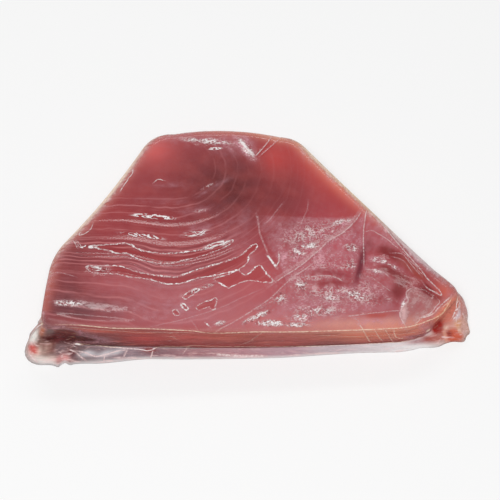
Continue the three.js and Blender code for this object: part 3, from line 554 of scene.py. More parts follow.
CAMERA_LIFT, CAMERA_DISTANCE, CAMERA_TARGET = 60, 620, (0, 0, 7)  # degrees, mm, mm
CAMERA_LENS, CAMERA_SENSOR = 98.2, 36
FLOOR_HALF, FLOOR_TONE, FLOOR_GLOW, FLOOR_ROUGHNESS = 3.0, 0.5, 0.465, 0.9  # half size in metres
WORLD_LIGHT = 0.24
LIGHTS = {  # place in metres, size, power in watts
    "front softbox": ((-0.15, -0.45, 1.25), (0.9, 0.6), 13.0),
    "back strip": ((0.1, 0.9, 0.75), (0.9, 0.12), 2.0),
}

# ------------------------------------------------------------------ small maths


def mix(a, b, share):
    """a + (b - a) * share."""
    return a + (b - a) * share


def smooth(low, high, x):
    """0 below low, 1 above high, and 3t^2 - 2t^3 between them."""
    t = np.clip((x - low) / (high - low), 0, 1)
    return t * t * (3 - 2 * t)


def eased(rows, x, column=1):
    """The value at x from rows that start with their x, eased from each row to the next."""
    rows = np.asarray(rows, float)
    low = np.clip(np.searchsorted(rows[:, 0], x, side="right") - 1, 0, len(rows) - 2)
    share = smooth(rows[low, 0], rows[low + 1, 0], x)
    return mix(rows[low, column], rows[low + 1, column], share)


def mound(x, y, centre_x, centre_y, along, across, turn):
    """A bell over an ellipse: exp(-(a^2 + b^2)), with a and b measured in its half sizes."""
    angle = math.radians(turn)
    dx, dy = x - centre_x, y - centre_y
    a = (dx * math.cos(angle) + dy * math.sin(angle)) / along
    b = (dy * math.cos(angle) - dx * math.sin(angle)) / across
    return np.exp(-(a * a + b * b))


def ripples(x, y, size, seed, waves=26):
    """Even random waves about size apart: a sum of cosines of seeded directions and phases."""
    draw = np.random.default_rng(seed)
    turn, phase = draw.uniform(0, 2 * np.pi, (2, waves))
    pitch = size * draw.uniform(0.7, 1.5, waves)
    total = np.zeros_like(x)
    for wave in range(waves):
        ahead = x * math.cos(turn[wave]) + y * math.sin(turn[wave])
        total += np.cos(2 * np.pi * ahead / pitch[wave] + phase[wave])
    return total / math.sqrt(waves / 2)


def tapered(share, part):
    """0 at both ends of a line and 1 between them, eased over a part of its length at each."""
    return smooth(0, part, share) * smooth(1, 1 - part, share)


def linear(colour):
    """A colour of three values from 0 to 255, as the light it stands for."""
    c = np.asarray(colour, float) / 255
    return np.where(c <= 0.04045, c / 12.92, ((c + 0.055) / 1.055) ** 2.4)


# ------------------------------------------------------------------ the outline


def bend(start, control, end, steps=200):
    """A quadratic curve: (1-t)^2 start + 2t(1-t) control + t^2 end, without its last point."""
    t = np.linspace(0, 1, steps, endpoint=False)[:, None]
    return (1 - t) ** 2 * start + 2 * t * (1 - t) * control + t**2 * end


def make_outline():
    """The rounded outline in even steps from the front left corner: columns x, y, and the way out.

    Each corner is a quadratic from round before it to round after it, and each edge one whose
    control point stands 2 * bow outside its middle.
    """
    corners = np.array([row[:2] for row in CORNERS])
    count = len(corners)

    def beside_corner(corner, towards):
        """Where the rounding of a corner starts, on its edge towards a neighbour."""
        step = corners[towards % count] - corners[corner % count]
        return corners[corner % count] + step * CORNERS[corner % count][2] / np.linalg.norm(step)

    curves = []
    for corner in range(count):
        leave, end = beside_corner(corner, corner + 1), beside_corner(corner + 1, corner)
        edge = (end - leave) / np.linalg.norm(end - leave)
        swollen = (leave + end) / 2 + 2 * CORNERS[corner][3] * np.array([edge[1], -edge[0]])
        curves.append(bend(beside_corner(corner, corner - 1), corners[corner], leave))
        curves.append(bend(leave, swollen, end))
    path = np.concatenate(curves + [curves[0][:1]])
    run = np.concatenate([[0], np.cumsum(np.linalg.norm(np.diff(path, axis=0), axis=1))])
    even = np.linspace(0, run[-1], OUTLINE_POINTS, endpoint=False)
    ring = np.stack([np.interp(even, run, path[:, axis]) for axis in (0, 1)], axis=1)
    first = np.argmin(np.linalg.norm(ring - corners[0], axis=1))
    ring = np.roll(ring, -first, axis=0)
    step = np.roll(ring, -1, axis=0) - np.roll(ring, 1, axis=0)
    step /= np.linalg.norm(step, axis=1)[:, None]
    return np.column_stack([ring, step[:, 1], -step[:, 0]]), run[-1]


OUTLINE, ROUND = make_outline()
STARTS = [np.argmin(np.hypot(*(OUTLINE[:, :2] - CORNERS[c][:2]).T)) for c in SIDE_STARTS]


def around(place):
    """x, y, way out x and y, and mm round the outline, at places numbered 0 to 4 by side."""
    number = np.interp(place, range(5), [*STARTS, OUTLINE_POINTS])
    loop = np.vstack([OUTLINE, OUTLINE[:1]])
    columns = [np.interp(number, range(OUTLINE_POINTS + 1), loop[:, axis]) for axis in range(4)]
    return [*columns, number * ROUND / OUTLINE_POINTS]


def along_to(corner, run):
    """Distance along the outline to a corner."""
    middle = np.argmin(np.hypot(*(OUTLINE[:, :2] - CORNERS[corner][:2]).T)) * ROUND / OUTLINE_POINTS
    apart = np.abs(run - middle)
    return np.minimum(apart, ROUND - apart)


# ------------------------------------------------------------------ paths and the way to them


def curve(points, steps=8, closed=False):
    """A smooth path through points, whose slope at each is half the step between its neighbours."""
    p = np.asarray(points, float)
    before = np.roll(p, 1, 0) if closed else np.vstack([2 * p[0] - p[1], p[:-1]])
    after = np.roll(p, -1, 0) if closed else np.vstack([p[1:], 2 * p[-1] - p[-2]])
    slope = (after - before) / 2
    ends = len(p) if closed else len(p) - 1
    t = np.linspace(0, 1, steps, endpoint=False)[:, None]
    parts = []
    for i in range(ends):
        j = (i + 1) % len(p)
        parts.append(
            (2 * t**3 - 3 * t**2 + 1) * p[i] + (t**3 - 2 * t**2 + t) * slope[i]
            + (3 * t**2 - 2 * t**3) * p[j] + (t**3 - t**2) * slope[j]
        )
    parts.append(p[:1] if closed else p[-1:])
    return np.vstack(parts)


def beside(path, x, y, within):
    """Distance to a path, distance to its line with a sign (plus on its left), and the share of
    the path's length where it is nearest. Points further than within get that distance."""
    gap, side = np.full(x.shape, float(within)), np.full(x.shape, float(within))
    share = np.zeros(x.shape)
    low, high = path.min(0) - within, path.max(0) + within
    close = (x > low[0]) & (x < high[0]) & (y > low[1]) & (y < high[1])
    px, py = x[close], y[close]
    near, offset = np.full(px.shape, float(within)), np.full(px.shape, float(within))
    at = np.zeros(px.shape)
    lengths = np.linalg.norm(np.diff(path, axis=0), axis=1)
    runs = np.concatenate([[0], np.cumsum(lengths)])
    for (x0, y0), (x1, y1), length, run in zip(path[:-1], path[1:], lengths, runs):
        if length == 0:
            continue
        ux, uy = (x1 - x0) / length, (y1 - y0) / length
        ahead = np.clip((px - x0) * ux + (py - y0) * uy, 0, length)
        away = np.hypot(px - x0 - ahead * ux, py - y0 - ahead * uy)
        nearer = away < near
        near = np.where(nearer, away, near)
        offset = np.where(nearer, (py - y0) * ux - (px - x0) * uy, offset)
        at = np.where(nearer, (run + ahead) / runs[-1], at)
    gap[close], side[close], share[close] = near, offset, at
    return gap, side, share


def inside(path, x, y):
    """Whether each point is inside a closed path: it crosses an odd number of its steps."""
    odd = np.zeros(x.shape, bool)
    for (x0, y0), (x1, y1) in zip(path[:-1], path[1:]):
        if y0 != y1:
            odd ^= ((y0 > y) != (y1 > y)) & (x < (x1 - x0) * (y - y0) / (y1 - y0) + x0)
    return odd


# ------------------------------------------------------------------ the top face


def make_grid():
    """x and y over the top face: its four sides blended across it (a Coons patch)."""
    u = np.linspace(0, 1, ACROSS + 1)[None, :]
    v = np.linspace(0, 1, DEEP + 1)[:, None]
    blended = []
    for axis in (0, 1):
        front, back = around(u)[axis], around(3 - u)[axis]
        right, left = around(1 + v)[axis], around(4 - v)[axis]
        corners = mix(mix(front[0, 0], front[0, -1], u), mix(back[0, 0], back[0, -1], u), v)
        blended.append(mix(front, back, v) + mix(left, right, u) - corners)
    return blended


def flake_way(x, y):
    """Distance out from the core across the flakes, and mm along them.

    Right of the core it is a ring's radius, where the outer rings lean upwards. To the left it is
    the distance in front, where the bands first climb by a step and the outer ones sink again.
    """
    aside, ahead = x - CORE[0], np.abs(CORE[1] - y)
    right, left = np.maximum(aside, 0), np.maximum(-aside, 0)
    ring = np.hypot(right / RING_STRETCH, ahead)
    lean = RING_LEAN * right**2 / (right + LEAN_EASE) * smooth(*LEAN_OUT, ring)
    climb = np.clip(STEP_RATE * (ahead - STEP_FROM), 0, STEP_MOST) * smooth(0, STEP_WITHIN, left)
    sink = SINK_RATE * np.maximum(left - SINK_FROM, 0) * smooth(*SINK_AHEAD, ahead)
    out = np.where(aside > 0, ring + lean, ahead + climb + sink)
    along = np.where(aside > 0, TURN_LENGTH * np.arctan2(right, ahead + 1e-6), -left)
    return out, along


def flake_number(out):
    """Number of the flake at a distance from the core: whole in a trough, a half on a ridge."""
    rise = 4 * FLAKE_WIDER * (out - FLAKE_TROUGH)
    return (np.sqrt(FLAKE_WIDTH**2 + rise) - FLAKE_WIDTH) / (2 * FLAKE_WIDER)


def edge_height(place, x):
    """Height of the cut edge, where the top face ends and the wall starts."""
    return eased(THICKNESS, x) - eased(ROLL, place)


def wall_out(share):
    """How far outside the cut edge the flesh's wall is, at a share of its height."""
    undercut = WALL_UNDER * (1 - np.clip(share / WALL_UNDER_TOP, 0, 1)) ** 2
    return WALL_LEAN * (1 - share) + WALL_BELLY * np.sin(np.pi * share) - undercut


# ------------------------------------------------------------------ the fields that both share


def zones(rows, x, y):
    """The largest of several mounds at each point; each row ends with its mound's strength."""
    return np.max([strength * mound(x, y, *where) for *where, strength in rows], axis=0)


def painted(tone, rows, x, y):
    """A colour with zones laid over it, each a mound with a colour and a strength."""
    for *where, colour, strength in rows:
        share = np.clip(strength * mound(x, y, *where), 0, 1)
        tone = mix(tone, linear(colour), share[..., None])
    return tone


def nearest_crease(group, x, y):
    """Of the nearest crease: distance with a sign and without, strength and half width. Then the
    height of all of them, ridges exp(-(distance / half width)^2)."""
    near, raised = np.full(x.shape, FAR), np.zeros(x.shape)
    fields = np.stack([near, near, 0 * near, 0 * near + 1], axis=-1)
    for strength, half, height, points in group.values():
        gap, side, share = beside(curve(points), x, y, FAR)
        taper = tapered(share, CREASE_TAPER)
        ridge = np.exp(-((gap / max(half, RIDGE_LEAST)) ** 2))
        raised = np.maximum(raised, height * taper * ridge)
        mine = np.stack([side, gap, strength * mix(CREASE_TIP, 1, taper), 0 * gap + half], axis=-1)
        fields = np.where((gap < near)[..., None], mine, fields)
        near = np.minimum(near, gap)
    return fields, raised


BACK_MIDDLE = (STARTS[2] + STARTS[3]) / 2 * ROUND / OUTLINE_POINTS


def both_ways(run):
    """mm round the outline from the front left corner, minus once past the middle of the back."""
    return np.where(run > BACK_MIDDLE, run - ROUND, run)


class Face:
    """The fields over the top face that flesh and film share, each as an array over its grid."""

    def __init__(self):
        self.x, self.y = make_grid()
        rim = np.vstack([OUTLINE[::RIM_STRIDE, :2], OUTLINE[:1, :2]])
        self.edge, _, share = beside(rim, self.x, self.y, EDGE_FAR)
        self.place = np.interp(share * OUTLINE_POINTS, [*STARTS, OUTLINE_POINTS], range(5))
        self.run = both_ways(share * ROUND)
        self.out, self.along = flake_way(self.x, self.y)
        self.flake = flake_number(self.out)
        self.many = smooth(*MANY_FROM, self.out) * smooth(*MANY_TO, self.out)
        self.many = self.many * smooth(*MANY_LEFT_OF, self.x)
        self.pool = self.nearest_loop(AIR_POOLS.values())
        self.veil = self.nearest_loop([VEIL])
        self.patch = smooth(*SOFT_EDGE, self.nearest_loop([FROSTED_PATCH]))
        self.bands_and_shade = self.dark_bands_and_shade()
        clear = np.clip(zones(CLEAR_ZONES, self.x, self.y), 0, 1)
        self.cleared = np.maximum(np.max(list(self.bands_and_shade.values()), axis=0), clear)
        self.frost = zones(FROST_ZONES, self.x, self.y) * (1 - PATCH_CALM * self.patch)
        self.frost = self.frost * (1 - CLEAR_CALM * self.cleared)
        self.glint = zones(GLINT_ZONES, self.x, self.y)
        self.creases, self.folds = self.all_creases()
        self.z = self.height()

    def nearest_loop(self, loops):
        """Distance to the nearest of several closed lines, minus inside them."""
        field = np.full(self.x.shape, FAR)
        for points in loops:
            line = curve(points, closed=True)
            gap = beside(line, self.x, self.y, FAR)[0]
            field = np.minimum(field, np.where(inside(line, self.x, self.y), -gap, gap))
        return field

    def dark_bands_and_shade(self):
        """How much each band of darker flesh or painted shade shows: exp(-(distance / half width)^2),
        tapered.
        """
        shown = {}
        for name, (half, _, strength, points) in DARK_BANDS_AND_SHADE.items():
            gap, _, share = beside(curve(points), self.x, self.y, FAR)
            band = np.clip(strength * np.exp(-((gap / half) ** 2)), 0, 1)
            shown[name] = band * mix(BAND_TIP, 1, tapered(share, BAND_TAPER))
        return shown

    def all_creases(self):
        """The nearest of the face's and the sides' creases, set by set, and their height."""
        found, raised = [], 0
        for own, side in zip(CREASES, SIDE_CREASES):
            a, a_raised = nearest_crease(own, self.x, self.y)
            b, b_raised = nearest_crease(side, self.run, -self.edge)
            found.append(np.where((b[..., 1] < a[..., 1])[..., None], b, a))
            raised = raised + a_raised + b_raised
        return found, raised

    def height(self):
        """Thickness, less the roll at the edge, plus the crown, the flakes and the swellings."""
        drop, reach = eased(ROLL, self.place), eased(ROLL, self.place, 2)
        rolled = drop * (1 - np.clip(self.edge / reach, 0, 1)) ** 2
        begun = smooth(*FLAKES_FROM, self.out) * (1 - smooth(*FLAKES_LEFT_OF, self.x))
        begun = begun * mix(LEFT_END_SHARE, 1, smooth(*LEFT_END, self.x))
        ridges = -FLAKE_HEIGHT * FLAKE_SHARE * begun * np.cos(2 * np.pi * self.flake)
        finer = np.cos(2 * np.pi * SEAMS_A_FLAKE * self.flake)
        ridges = ridges + SEAM_HEIGHT * begun * self.many * finer
        swells = sum(h * mound(self.x, self.y, *where) for *where, h in SWELLS)
        crumples = ripples(self.x, self.y, CRUMPLE_SIZE, 1) * CRUMPLE_HEIGHT
        crumples = crumples * smooth(*CRUMPLE_EASE, self.veil)
        crumples = crumples + ripples(self.x, self.y, FROST_SIZE, 2) * FROST_HEIGHT * self.frost
        relief = smooth(0, 2 * reach, self.edge) * (ridges + swells + crumples)
        crown = CROWN_HEIGHT * smooth(0, CROWN_WITHIN, self.edge)
        return eased(THICKNESS, self.x) - rolled + crown + relief


face = Face()
STEPS_ROUND = [np.arange(ACROSS) / ACROSS, np.arange(DEEP) / DEEP] * 2
RIM_PLACE = np.concatenate([side + steps for side, steps in enumerate(STEPS_ROUND)])
RIM_X, RIM_Y, OUT_X, OUT_Y, RIM_RUN = around(RIM_PLACE)
RIM_EDGE = edge_height(RIM_PLACE, RIM_X)
RIM_WAY = both_ways(RIM_RUN)
GRID = np.arange((DEEP + 1) * (ACROSS + 1)).reshape(DEEP + 1, ACROSS + 1)
RIM = np.concatenate([GRID[0, :-1], GRID[:-1, -1], GRID[-1, :0:-1], GRID[:0:-1, 0]])

# ------------------------------------------------------------------ meshes


def ring(out, height):
    """The rim moved outwards, at a height."""
    return np.column_stack([RIM_X + OUT_X * out, RIM_Y + OUT_Y * out, height + 0 * RIM_X])


def under(foot, height):
    """Rings of the underside: the foot's ring drawn in towards its middle."""
    rings = [mix(foot.mean(0), foot, share) for share in UNDER_RINGS]
    for inner in rings:
        inner[:, 2] = height
    return rings


def flesh_rings():
    """The flesh's side: the wall's profile at each level, one gap inside the film."""
    foot = FILM_FOOT + FILM_GAP
    wall = []
    for level in FLESH_LEVELS:
        height = np.maximum(RIM_EDGE * level - FILM_GAP, foot)
        wall.append(ring(wall_out(level) - FILM_GAP, height))
    return wall + under(wall[-1], foot)


def film_rings():
    """The film's side: down the wall with the flesh, out over the hem's slope, and under."""
    up = np.minimum(eased(HEM, RIM_PLACE, 2), RIM_EDGE * HEM_HIGHEST)
    reach, slack = eased(HEM, RIM_PLACE) - PLEAT_MARGIN, eased(HEM, RIM_PLACE, 3)
    for corner, half in EARS:
        along = along_to(corner, RIM_RUN)
        gathered = 1 - smooth(half * GATHER_FULL, half, along)
        reach = reach + EAR_DEPTH * gathered * np.cos(2 * np.pi * along / EAR_PITCH)
    rings = []
    for share in np.linspace(0, 1, CLING_RINGS + 1)[1:]:
        height = mix(RIM_EDGE, up, share)
        rings.append(ring(wall_out(height / RIM_EDGE), height))
    lip = wall_out(up / RIM_EDGE)
    for share in np.linspace(0, 1, SLOPE_RINGS + 1)[1:]:
        rings.append(ring(mix(lip, reach, share), mix(FILM_FOOT, up, (1 - share) ** slack)))
    return rings + under(rings[-1], FILM_FOOT)


def run_past(rings):
    """mm past the cut edge at each ring, down the side."""
    loops = [ring(0, RIM_EDGE)] + rings
    return np.cumsum([np.linalg.norm(b - a, axis=1) for a, b in zip(loops[:-1], loops[1:])], axis=0)


def skin(top, rings):
    """Points, quads and closing triangles of a skin: the top grid, rings down from its rim and in
    under the foot, and one last point."""
    points = np.vstack([top.reshape(-1, 3), *rings, rings[-1].mean(0)[None]])
    loops = [RIM] + [GRID.size + k * len(RIM) + np.arange(len(RIM)) for k in range(len(rings))]
    a, b, c, d = GRID[:-1, :-1], GRID[:-1, 1:], GRID[1:, 1:], GRID[1:, :-1]
    quads = [np.stack([a, b, c, d], axis=-1).reshape(-1, 4)]
    for upper, lower in zip(loops[:-1], loops[1:]):
        quads.append(np.stack([lower, np.roll(lower, -1), np.roll(upper, -1), upper], axis=-1))
    last = loops[-1]
    fan = np.stack([np.roll(last, -1), last, np.full(len(last), len(points) - 1)], axis=-1)
    return points, np.vstack(quads), fan


def spread(top, sides):
    """A field over a whole skin: its grid, its rings, and the last ring's mean for its last point."""
    width = top.shape[2:]
    rows = [np.broadcast_to(side, (len(RIM), *width)) for side in sides]
    return np.concatenate([top.reshape(-1, *width), *rows, rows[-1].mean(0)[None]])


def placed(points):
    """Points in mm of the steak's own frame, as metres in the frame of the solids."""
    return (np.asarray(points) + SHIFT) / 1000


def make_mesh(name, shape, fields):
    """A mesh of smooth faces whose named fields are attributes of its points."""
    points, quads, fan = shape
    mesh = bpy.data.meshes.new(name)
    mesh.vertices.add(len(points))
    mesh.vertices.foreach_set("co", placed(points).astype(np.float32).ravel())
    mesh.loops.add(quads.size + fan.size)
    mesh.loops.foreach_set("vertex_index", np.concatenate([quads.ravel(), fan.ravel()]))
    starts = [np.arange(len(quads)) * 4, quads.size + np.arange(len(fan)) * 3]
    mesh.polygons.add(len(quads) + len(fan))
    mesh.polygons.foreach_set("loop_start", np.concatenate(starts))
    mesh.update(calc_edges=True)
    mesh.shade_smooth()
    kinds = {1: ("FLOAT", "value"), 3: ("FLOAT_VECTOR", "vector"), 4: ("FLOAT_COLOR", "color")}
    for field, values in fields.items():
        kind, key = kinds[values.shape[1] if values.ndim > 1 else 1]
        attribute = mesh.attributes.new(field, kind, "POINT")
        attribute.data.foreach_set(key, values.astype(np.float32).ravel())
    piece = bpy.data.objects.new(name, mesh)
    bpy.context.scene.collection.objects.link(piece)
    return piece


def tone_rows(rows, place):
    """Colour by place round the outline, as light."""
    return linear(np.stack([eased(rows, place, column) for column in (1, 2, 3)], axis=-1))


def opaque(colours):
    """Colours with an alpha of 1."""
    return np.concatenate([colours, np.ones((*colours.shape[:-1], 1))], axis=-1)


def flesh_tones(rings, past):
    """Top: base colour, its zones, then the rim's band. Side: rim to foot colour, then its zones."""
    top = np.broadcast_to(linear(FLESH_BASE), (*face.x.shape, 3))
    top = painted(top, FLESH_ZONES, face.x, face.y)
    # Darker flesh where the film lies clear, and painted shade by the folds.
    for name, shown in face.bands_and_shade.items():
        top = mix(top, linear(DARK_BANDS_AND_SHADE[name][1]), shown[..., None])
    pooled = POOL_SHARE * smooth(0, -1, face.pool)
    top = mix(top, linear(POOL_TONE), pooled[..., None])
    band = eased(RIM_TONES, face.place, 4)
    near_rim = np.exp(-((face.edge / band) ** 2))[..., None]
    top = mix(top, tone_rows(RIM_TONES, face.place), near_rim)
    top = painted(top, FLESH_SIDE_ZONES, face.run, -face.edge)
    rim, foot = tone_rows(RIM_TONES, RIM_PLACE), tone_rows(FOOT_TONES, RIM_PLACE)
    sides = []
    for row, down in zip(rings, past):
        tone = mix(rim, foot, smooth(1, 0.2, row[:, 2] / RIM_EDGE)[:, None])
        sides.append(opaque(painted(tone, FLESH_SIDE_ZONES, RIM_WAY, down)))
    return spread(opaque(top), sides)


def seams_seen():
    """How much the seams show: a product of eased steps across the rings, x, y and the edge."""
    seen = smooth(*SEAMS_FROM, face.out) * (1 - smooth(*SEAMS_END, face.x))
    seen = seen * smooth(0, SEAMS_EDGE, face.edge)
    for start, full, left in SEAMS_DIMMER:
        seen = seen * mix(1, left, smooth(start, full, face.x))
    return seen * mix(1, BEHIND_SHARE, smooth(*BEHIND_X, face.x) * smooth(*BEHIND_Y, face.y))


def make_flesh():
    """The flesh: the face one gap inside the film, and its side."""
    rings = flesh_rings()
    past = run_past(rings)
    top = np.stack([face.x, face.y, face.z - FILM_GAP + face.folds * FOLD_SHARE], axis=-1)
    flow = np.stack([face.out, face.along, face.many], axis=-1)
    flake = np.stack([face.flake, seams_seen(), face.frost], axis=-1)
    still = [flake.reshape(-1, 3)[RIM] * (1, 0, 0)] * len(rings)
    fields = {
        "tone": flesh_tones(rings, past),
        "flake": spread(flake, still),
        "flow": spread(flow, [flow.reshape(-1, 3)[RIM]] * len(rings)),
        "past": spread(-face.edge, past),
    }
    return make_mesh("steak_flesh", skin(top, rings), fields)


def film_haze_and_sheen():
    """Milkiness and painted sheen of the film over the top face: less in the air pools, more under the veil.
    """
    left = CLING_HAZE + zones(LEFT_HAZE_AND_SHEEN, face.x, face.y) * smooth(*LEFT_HAZE_AND_SHEEN_ENDS, face.x)
    veiled = VEIL_HAZE + zones(RIGHT_HAZE_AND_SHEEN, face.x, face.y)
    veiled = veiled * (1 - face.cleared) + PATCH_HAZE * face.patch
    haze_and_sheen = mix(left, np.maximum(left, veiled), smooth(*SOFT_EDGE, face.veil))
    return haze_and_sheen * mix(POOL_HAZE, 1, smooth(*POOL_HAZE_EDGE, face.pool))


def with_side_zones(tone, hide, run, past):
    """A colour and a hiding with the film's side zones laid over them."""
    for *where, colour, hiding, strength in FILM_SIDE_ZONES:
        here = np.clip(strength * mound(run, past, *where), 0, 1)
        tone, hide = mix(tone, linear(colour), here[..., None]), mix(hide, hiding, here)
    return opaque(tone), hide


def film_sides(past):
    """Colour and hiding of the film's side: clear on the wall, the hem's own on its slope."""
    hem_tone, hem_hides = tone_rows(HEM_TONES, RIM_PLACE), eased(HEM_TONES, RIM_PLACE, 4)
    down_slope = list(np.linspace(0, 1, SLOPE_RINGS + 1)[1:])
    slope = [0.0] * CLING_RINGS + down_slope + [1.0] * len(UNDER_RINGS)
    tones, hides = [], []
    for share, down in zip(slope, past):
        hem = smooth(*HEM_EASE, share) * (share > 0)
        tone, hide = mix(linear(FILM_TONE), hem_tone, hem), mix(WALL_HAZE, hem_hides, hem)
        tone, hide = with_side_zones(tone, hide, RIM_WAY, down)
        at_ear, past_ear = (smooth(start, 1, share) for start in HEM_EDGE_FROM)
        fade = mix(at_ear, past_ear, smooth(*HEM_EDGE_WIDENS, RIM_WAY))
        begun, ended = (smooth(*run, RIM_WAY) for run in HEM_EDGE_RUN)
        white = HEM_EDGE_STRENGTH * fade * begun * ended
        tone = mix(tone, np.array([*linear(HEM_EDGE_TONE), 1]), white[:, None])
        tones.append(tone)
        hides.append(hide)
    return tones, hides, slope


def make_film():
    """The film: over the face, raised on creases and pools, and its side with the hem."""
    rings = film_rings()
    past = run_past(rings)
    pooled = POOL_LIFT * smooth(0, POOL_EASE, -face.pool)
    top = np.stack([face.x, face.y, face.z + pooled + face.folds], axis=-1)
    tones, hides, slope = film_sides(past)
    top_tone = mix(linear(FILM_TONE), linear(PATCH_TONE), face.patch[..., None])
    top_tone, haze_and_sheen = with_side_zones(top_tone, film_haze_and_sheen(), face.run, -face.edge)
    loose = np.where(face.x < FROST_LEFT_OF, 1, smooth(*FROST_EDGE, face.veil))
    grainy = np.maximum(face.frost * loose, PATCH_GRAIN * face.patch)
    flow = np.stack([face.out, face.along, grainy], axis=-1)
    none = [0.0] * len(rings)
    fields = {
        "tone": spread(top_tone, tones),
        "haze_and_sheen": spread(haze_and_sheen, hides),
        "pool": spread(face.pool, [FAR] * len(rings)),
        "frost": spread(face.frost * loose, none),
        "glint": spread(face.glint, none),
        "flow": spread(flow, [flow.reshape(-1, 3)[RIM] * (1, 1, 0)] * len(rings)),
        "past": spread(-face.edge, past),
        "slope": spread(face.z * 0, slope),
    }
    for number, group in enumerate(SIDE_CREASES):
        sides = [nearest_crease(group, RIM_WAY, down)[0] for down in past]
        fields[f"crease_{number}"] = spread(face.creases[number], sides)
    return make_mesh("shrink_film", skin(top, rings), fields)


def own_shift():
    """From the steak's own frame to the solids': their lowest corners are the same point."""
    rings = [ring(wall_out(level), 0) for level in FLESH_LEVELS]
    lowest = np.min([row.min(0) for row in rings], axis=0)
    return np.array([*(np.array(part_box("tuna_steak")[0][:2]) * 1000 - lowest[:2]), 0])


SHIFT = own_shift()

# ------------------------------------------------------------------ node trees


class Nodes:
    """Adds nodes to a tree. Most methods add one node and give its first output."""

    def __init__(self, tree):
        self.tree = tree

    def put(self, socket, value):
        if isinstance(value, bpy.types.NodeSocket):
            self.tree.links.new(value, socket)
        else:
            socket.default_value = value

    def add(self, kind, inputs=(), **settings):
        node = self.tree.nodes.new("ShaderNode" + kind)
        for key, value in settings.items():
            setattr(node, key, value)
        for key, value in dict(inputs).items():
            self.put(node.inputs[key], value)
        return node

    def math(self, operation, *values, clamp=False):
        node = self.add("Math", enumerate(values), operation=operation, use_clamp=clamp)
        return node.outputs[0]

    def product(self, *values):
        total = values[0]
        for value in values[1:]:
            total = self.math("MULTIPLY", total, value)
        return total

    def most(self, *values):
        total = values[0]
        for value in values[1:]:
            total = self.math("MAXIMUM", total, value)
        return total

    def span(self, value, low, high, to_low=0.0, to_high=1.0):
        """Eased from to_low at low to to_high at high."""
        ends = {"Value": value, "From Min": low, "From Max": high, "To Min": to_low, "To Max": to_high}
        return self.add("MapRange", ends, interpolation_type="SMOOTHSTEP").outputs[0]

    def field(self, name, output="Fac"):
        return self.add("Attribute", attribute_name=name).outputs[output]

    def parts(self, vector):
        return self.add("SeparateXYZ", {0: vector}).outputs

    def scaled(self, vector, factors):
        """A vector with each part times a factor."""
        return self.add("VectorMath", {0: vector, 1: factors}, operation="MULTIPLY").outputs[0]

    def noise(self, vector, scale, detail=2.0, roughness=0.5, distortion=0.0):
        settings = {"Vector": vector, "Scale": scale, "Detail": detail, "Roughness": roughness}
        return self.add("TexNoise", {**settings, "Distortion": distortion}).outputs[0]

    def blend(self, share, a, b, kind="MIX"):
        node = self.add("Mix", data_type="RGBA", blend_type=kind)
        for socket, value in zip((0, 6, 7), (share, a, b)):
            self.put(node.inputs[socket], value)
        return node.outputs[2]

    def between(self, share, a, b):
        """A number from a at share 0 to b at share 1."""
        node = self.add("Mix", data_type="FLOAT")
        for socket, value in zip((0, 2, 3), (share, a, b)):
            self.put(node.inputs[socket], value)
        return node.outputs[0]

    def ramp(self, value, stops):
        """Grey levels between stops of place and level."""
        ramp = self.add("ValToRGB", {0: value})
        elements = ramp.color_ramp.elements
        for place, level in stops[1:-1]:
            elements.new(place).color = (level, level, level, 1)
        for element, (place, level) in ((elements[0], stops[0]), (elements[-1], stops[-1])):
            element.position, element.color = place, (level, level, level, 1)
        return ramp.outputs[0]

    def millimetres(self):
        """Object coordinates, in mm."""
        return self.scaled(self.add("TexCoord").outputs["Object"], (1000, 1000, 1000))


def paint(colour):
    """A colour of three values from 0 to 255, for a socket."""
    return (*linear(colour), 1)


def new_material(name):
    """A material, its nodes and its shader."""
    material = bpy.data.materials.new(name)
    material.use_nodes = True
    return material, Nodes(material.node_tree), material.node_tree.nodes["Principled BSDF"]


def crumple_group():
    """A group for film that lies crumpled: its height, and a mask of its bright crests.

    Both come from ridged noise about Size mm across, whose place is stirred by another noise.
    """
    group = bpy.data.node_groups.new("film_crumple", "ShaderNodeTree")
    for name, kind in (("Vector", "NodeSocketVector"), ("Size", "NodeSocketFloat")):
        group.interface.new_socket(name, in_out="INPUT", socket_type=kind)
    for name in ("Height", "Crests"):
        group.interface.new_socket(name, in_out="OUTPUT", socket_type="NodeSocketFloat")
    nodes = Nodes(group)
    given, result = group.nodes.new("NodeGroupInput"), group.nodes.new("NodeGroupOutput")
    sized = nodes.add("VectorMath", {0: given.outputs["Vector"]}, operation="SCALE")
    nodes.put(sized.inputs["Scale"], nodes.math("DIVIDE", 1.0, given.outputs["Size"]))
    stir = nodes.add("TexNoise", {"Vector": sized.outputs[0], "Scale": 0.9, "Detail": 2.0})
    stirred = nodes.add("VectorMath", {0: sized.outputs[0], 1: stir.outputs[1]}, operation="ADD")
    folds = nodes.noise(stirred.outputs[0], 1.0, 4.0, 0.62)
    away = nodes.math("ABSOLUTE", nodes.math("SUBTRACT", folds, 0.5))
    nodes.put(result.inputs["Height"], nodes.math("MULTIPLY", away, -4.0))
    lines = nodes.noise(stirred.outputs[0], 1.0, 1.0, 0.5)
    beside_line = nodes.math("ABSOLUTE", nodes.math("SUBTRACT", lines, 0.5))
    nodes.put(result.inputs["Crests"], nodes.span(beside_line, 0.06, 0.02))
    return group


CRUMPLE = crumple_group()


def crumple(nodes, vector, size):
    """The crumple group placed in a material: its height and its crests."""
    group = nodes.add("Group", node_tree=CRUMPLE)
    nodes.put(group.inputs["Vector"], vector)
    nodes.put(group.inputs["Size"], size)
    return group.outputs["Height"], group.outputs["Crests"]


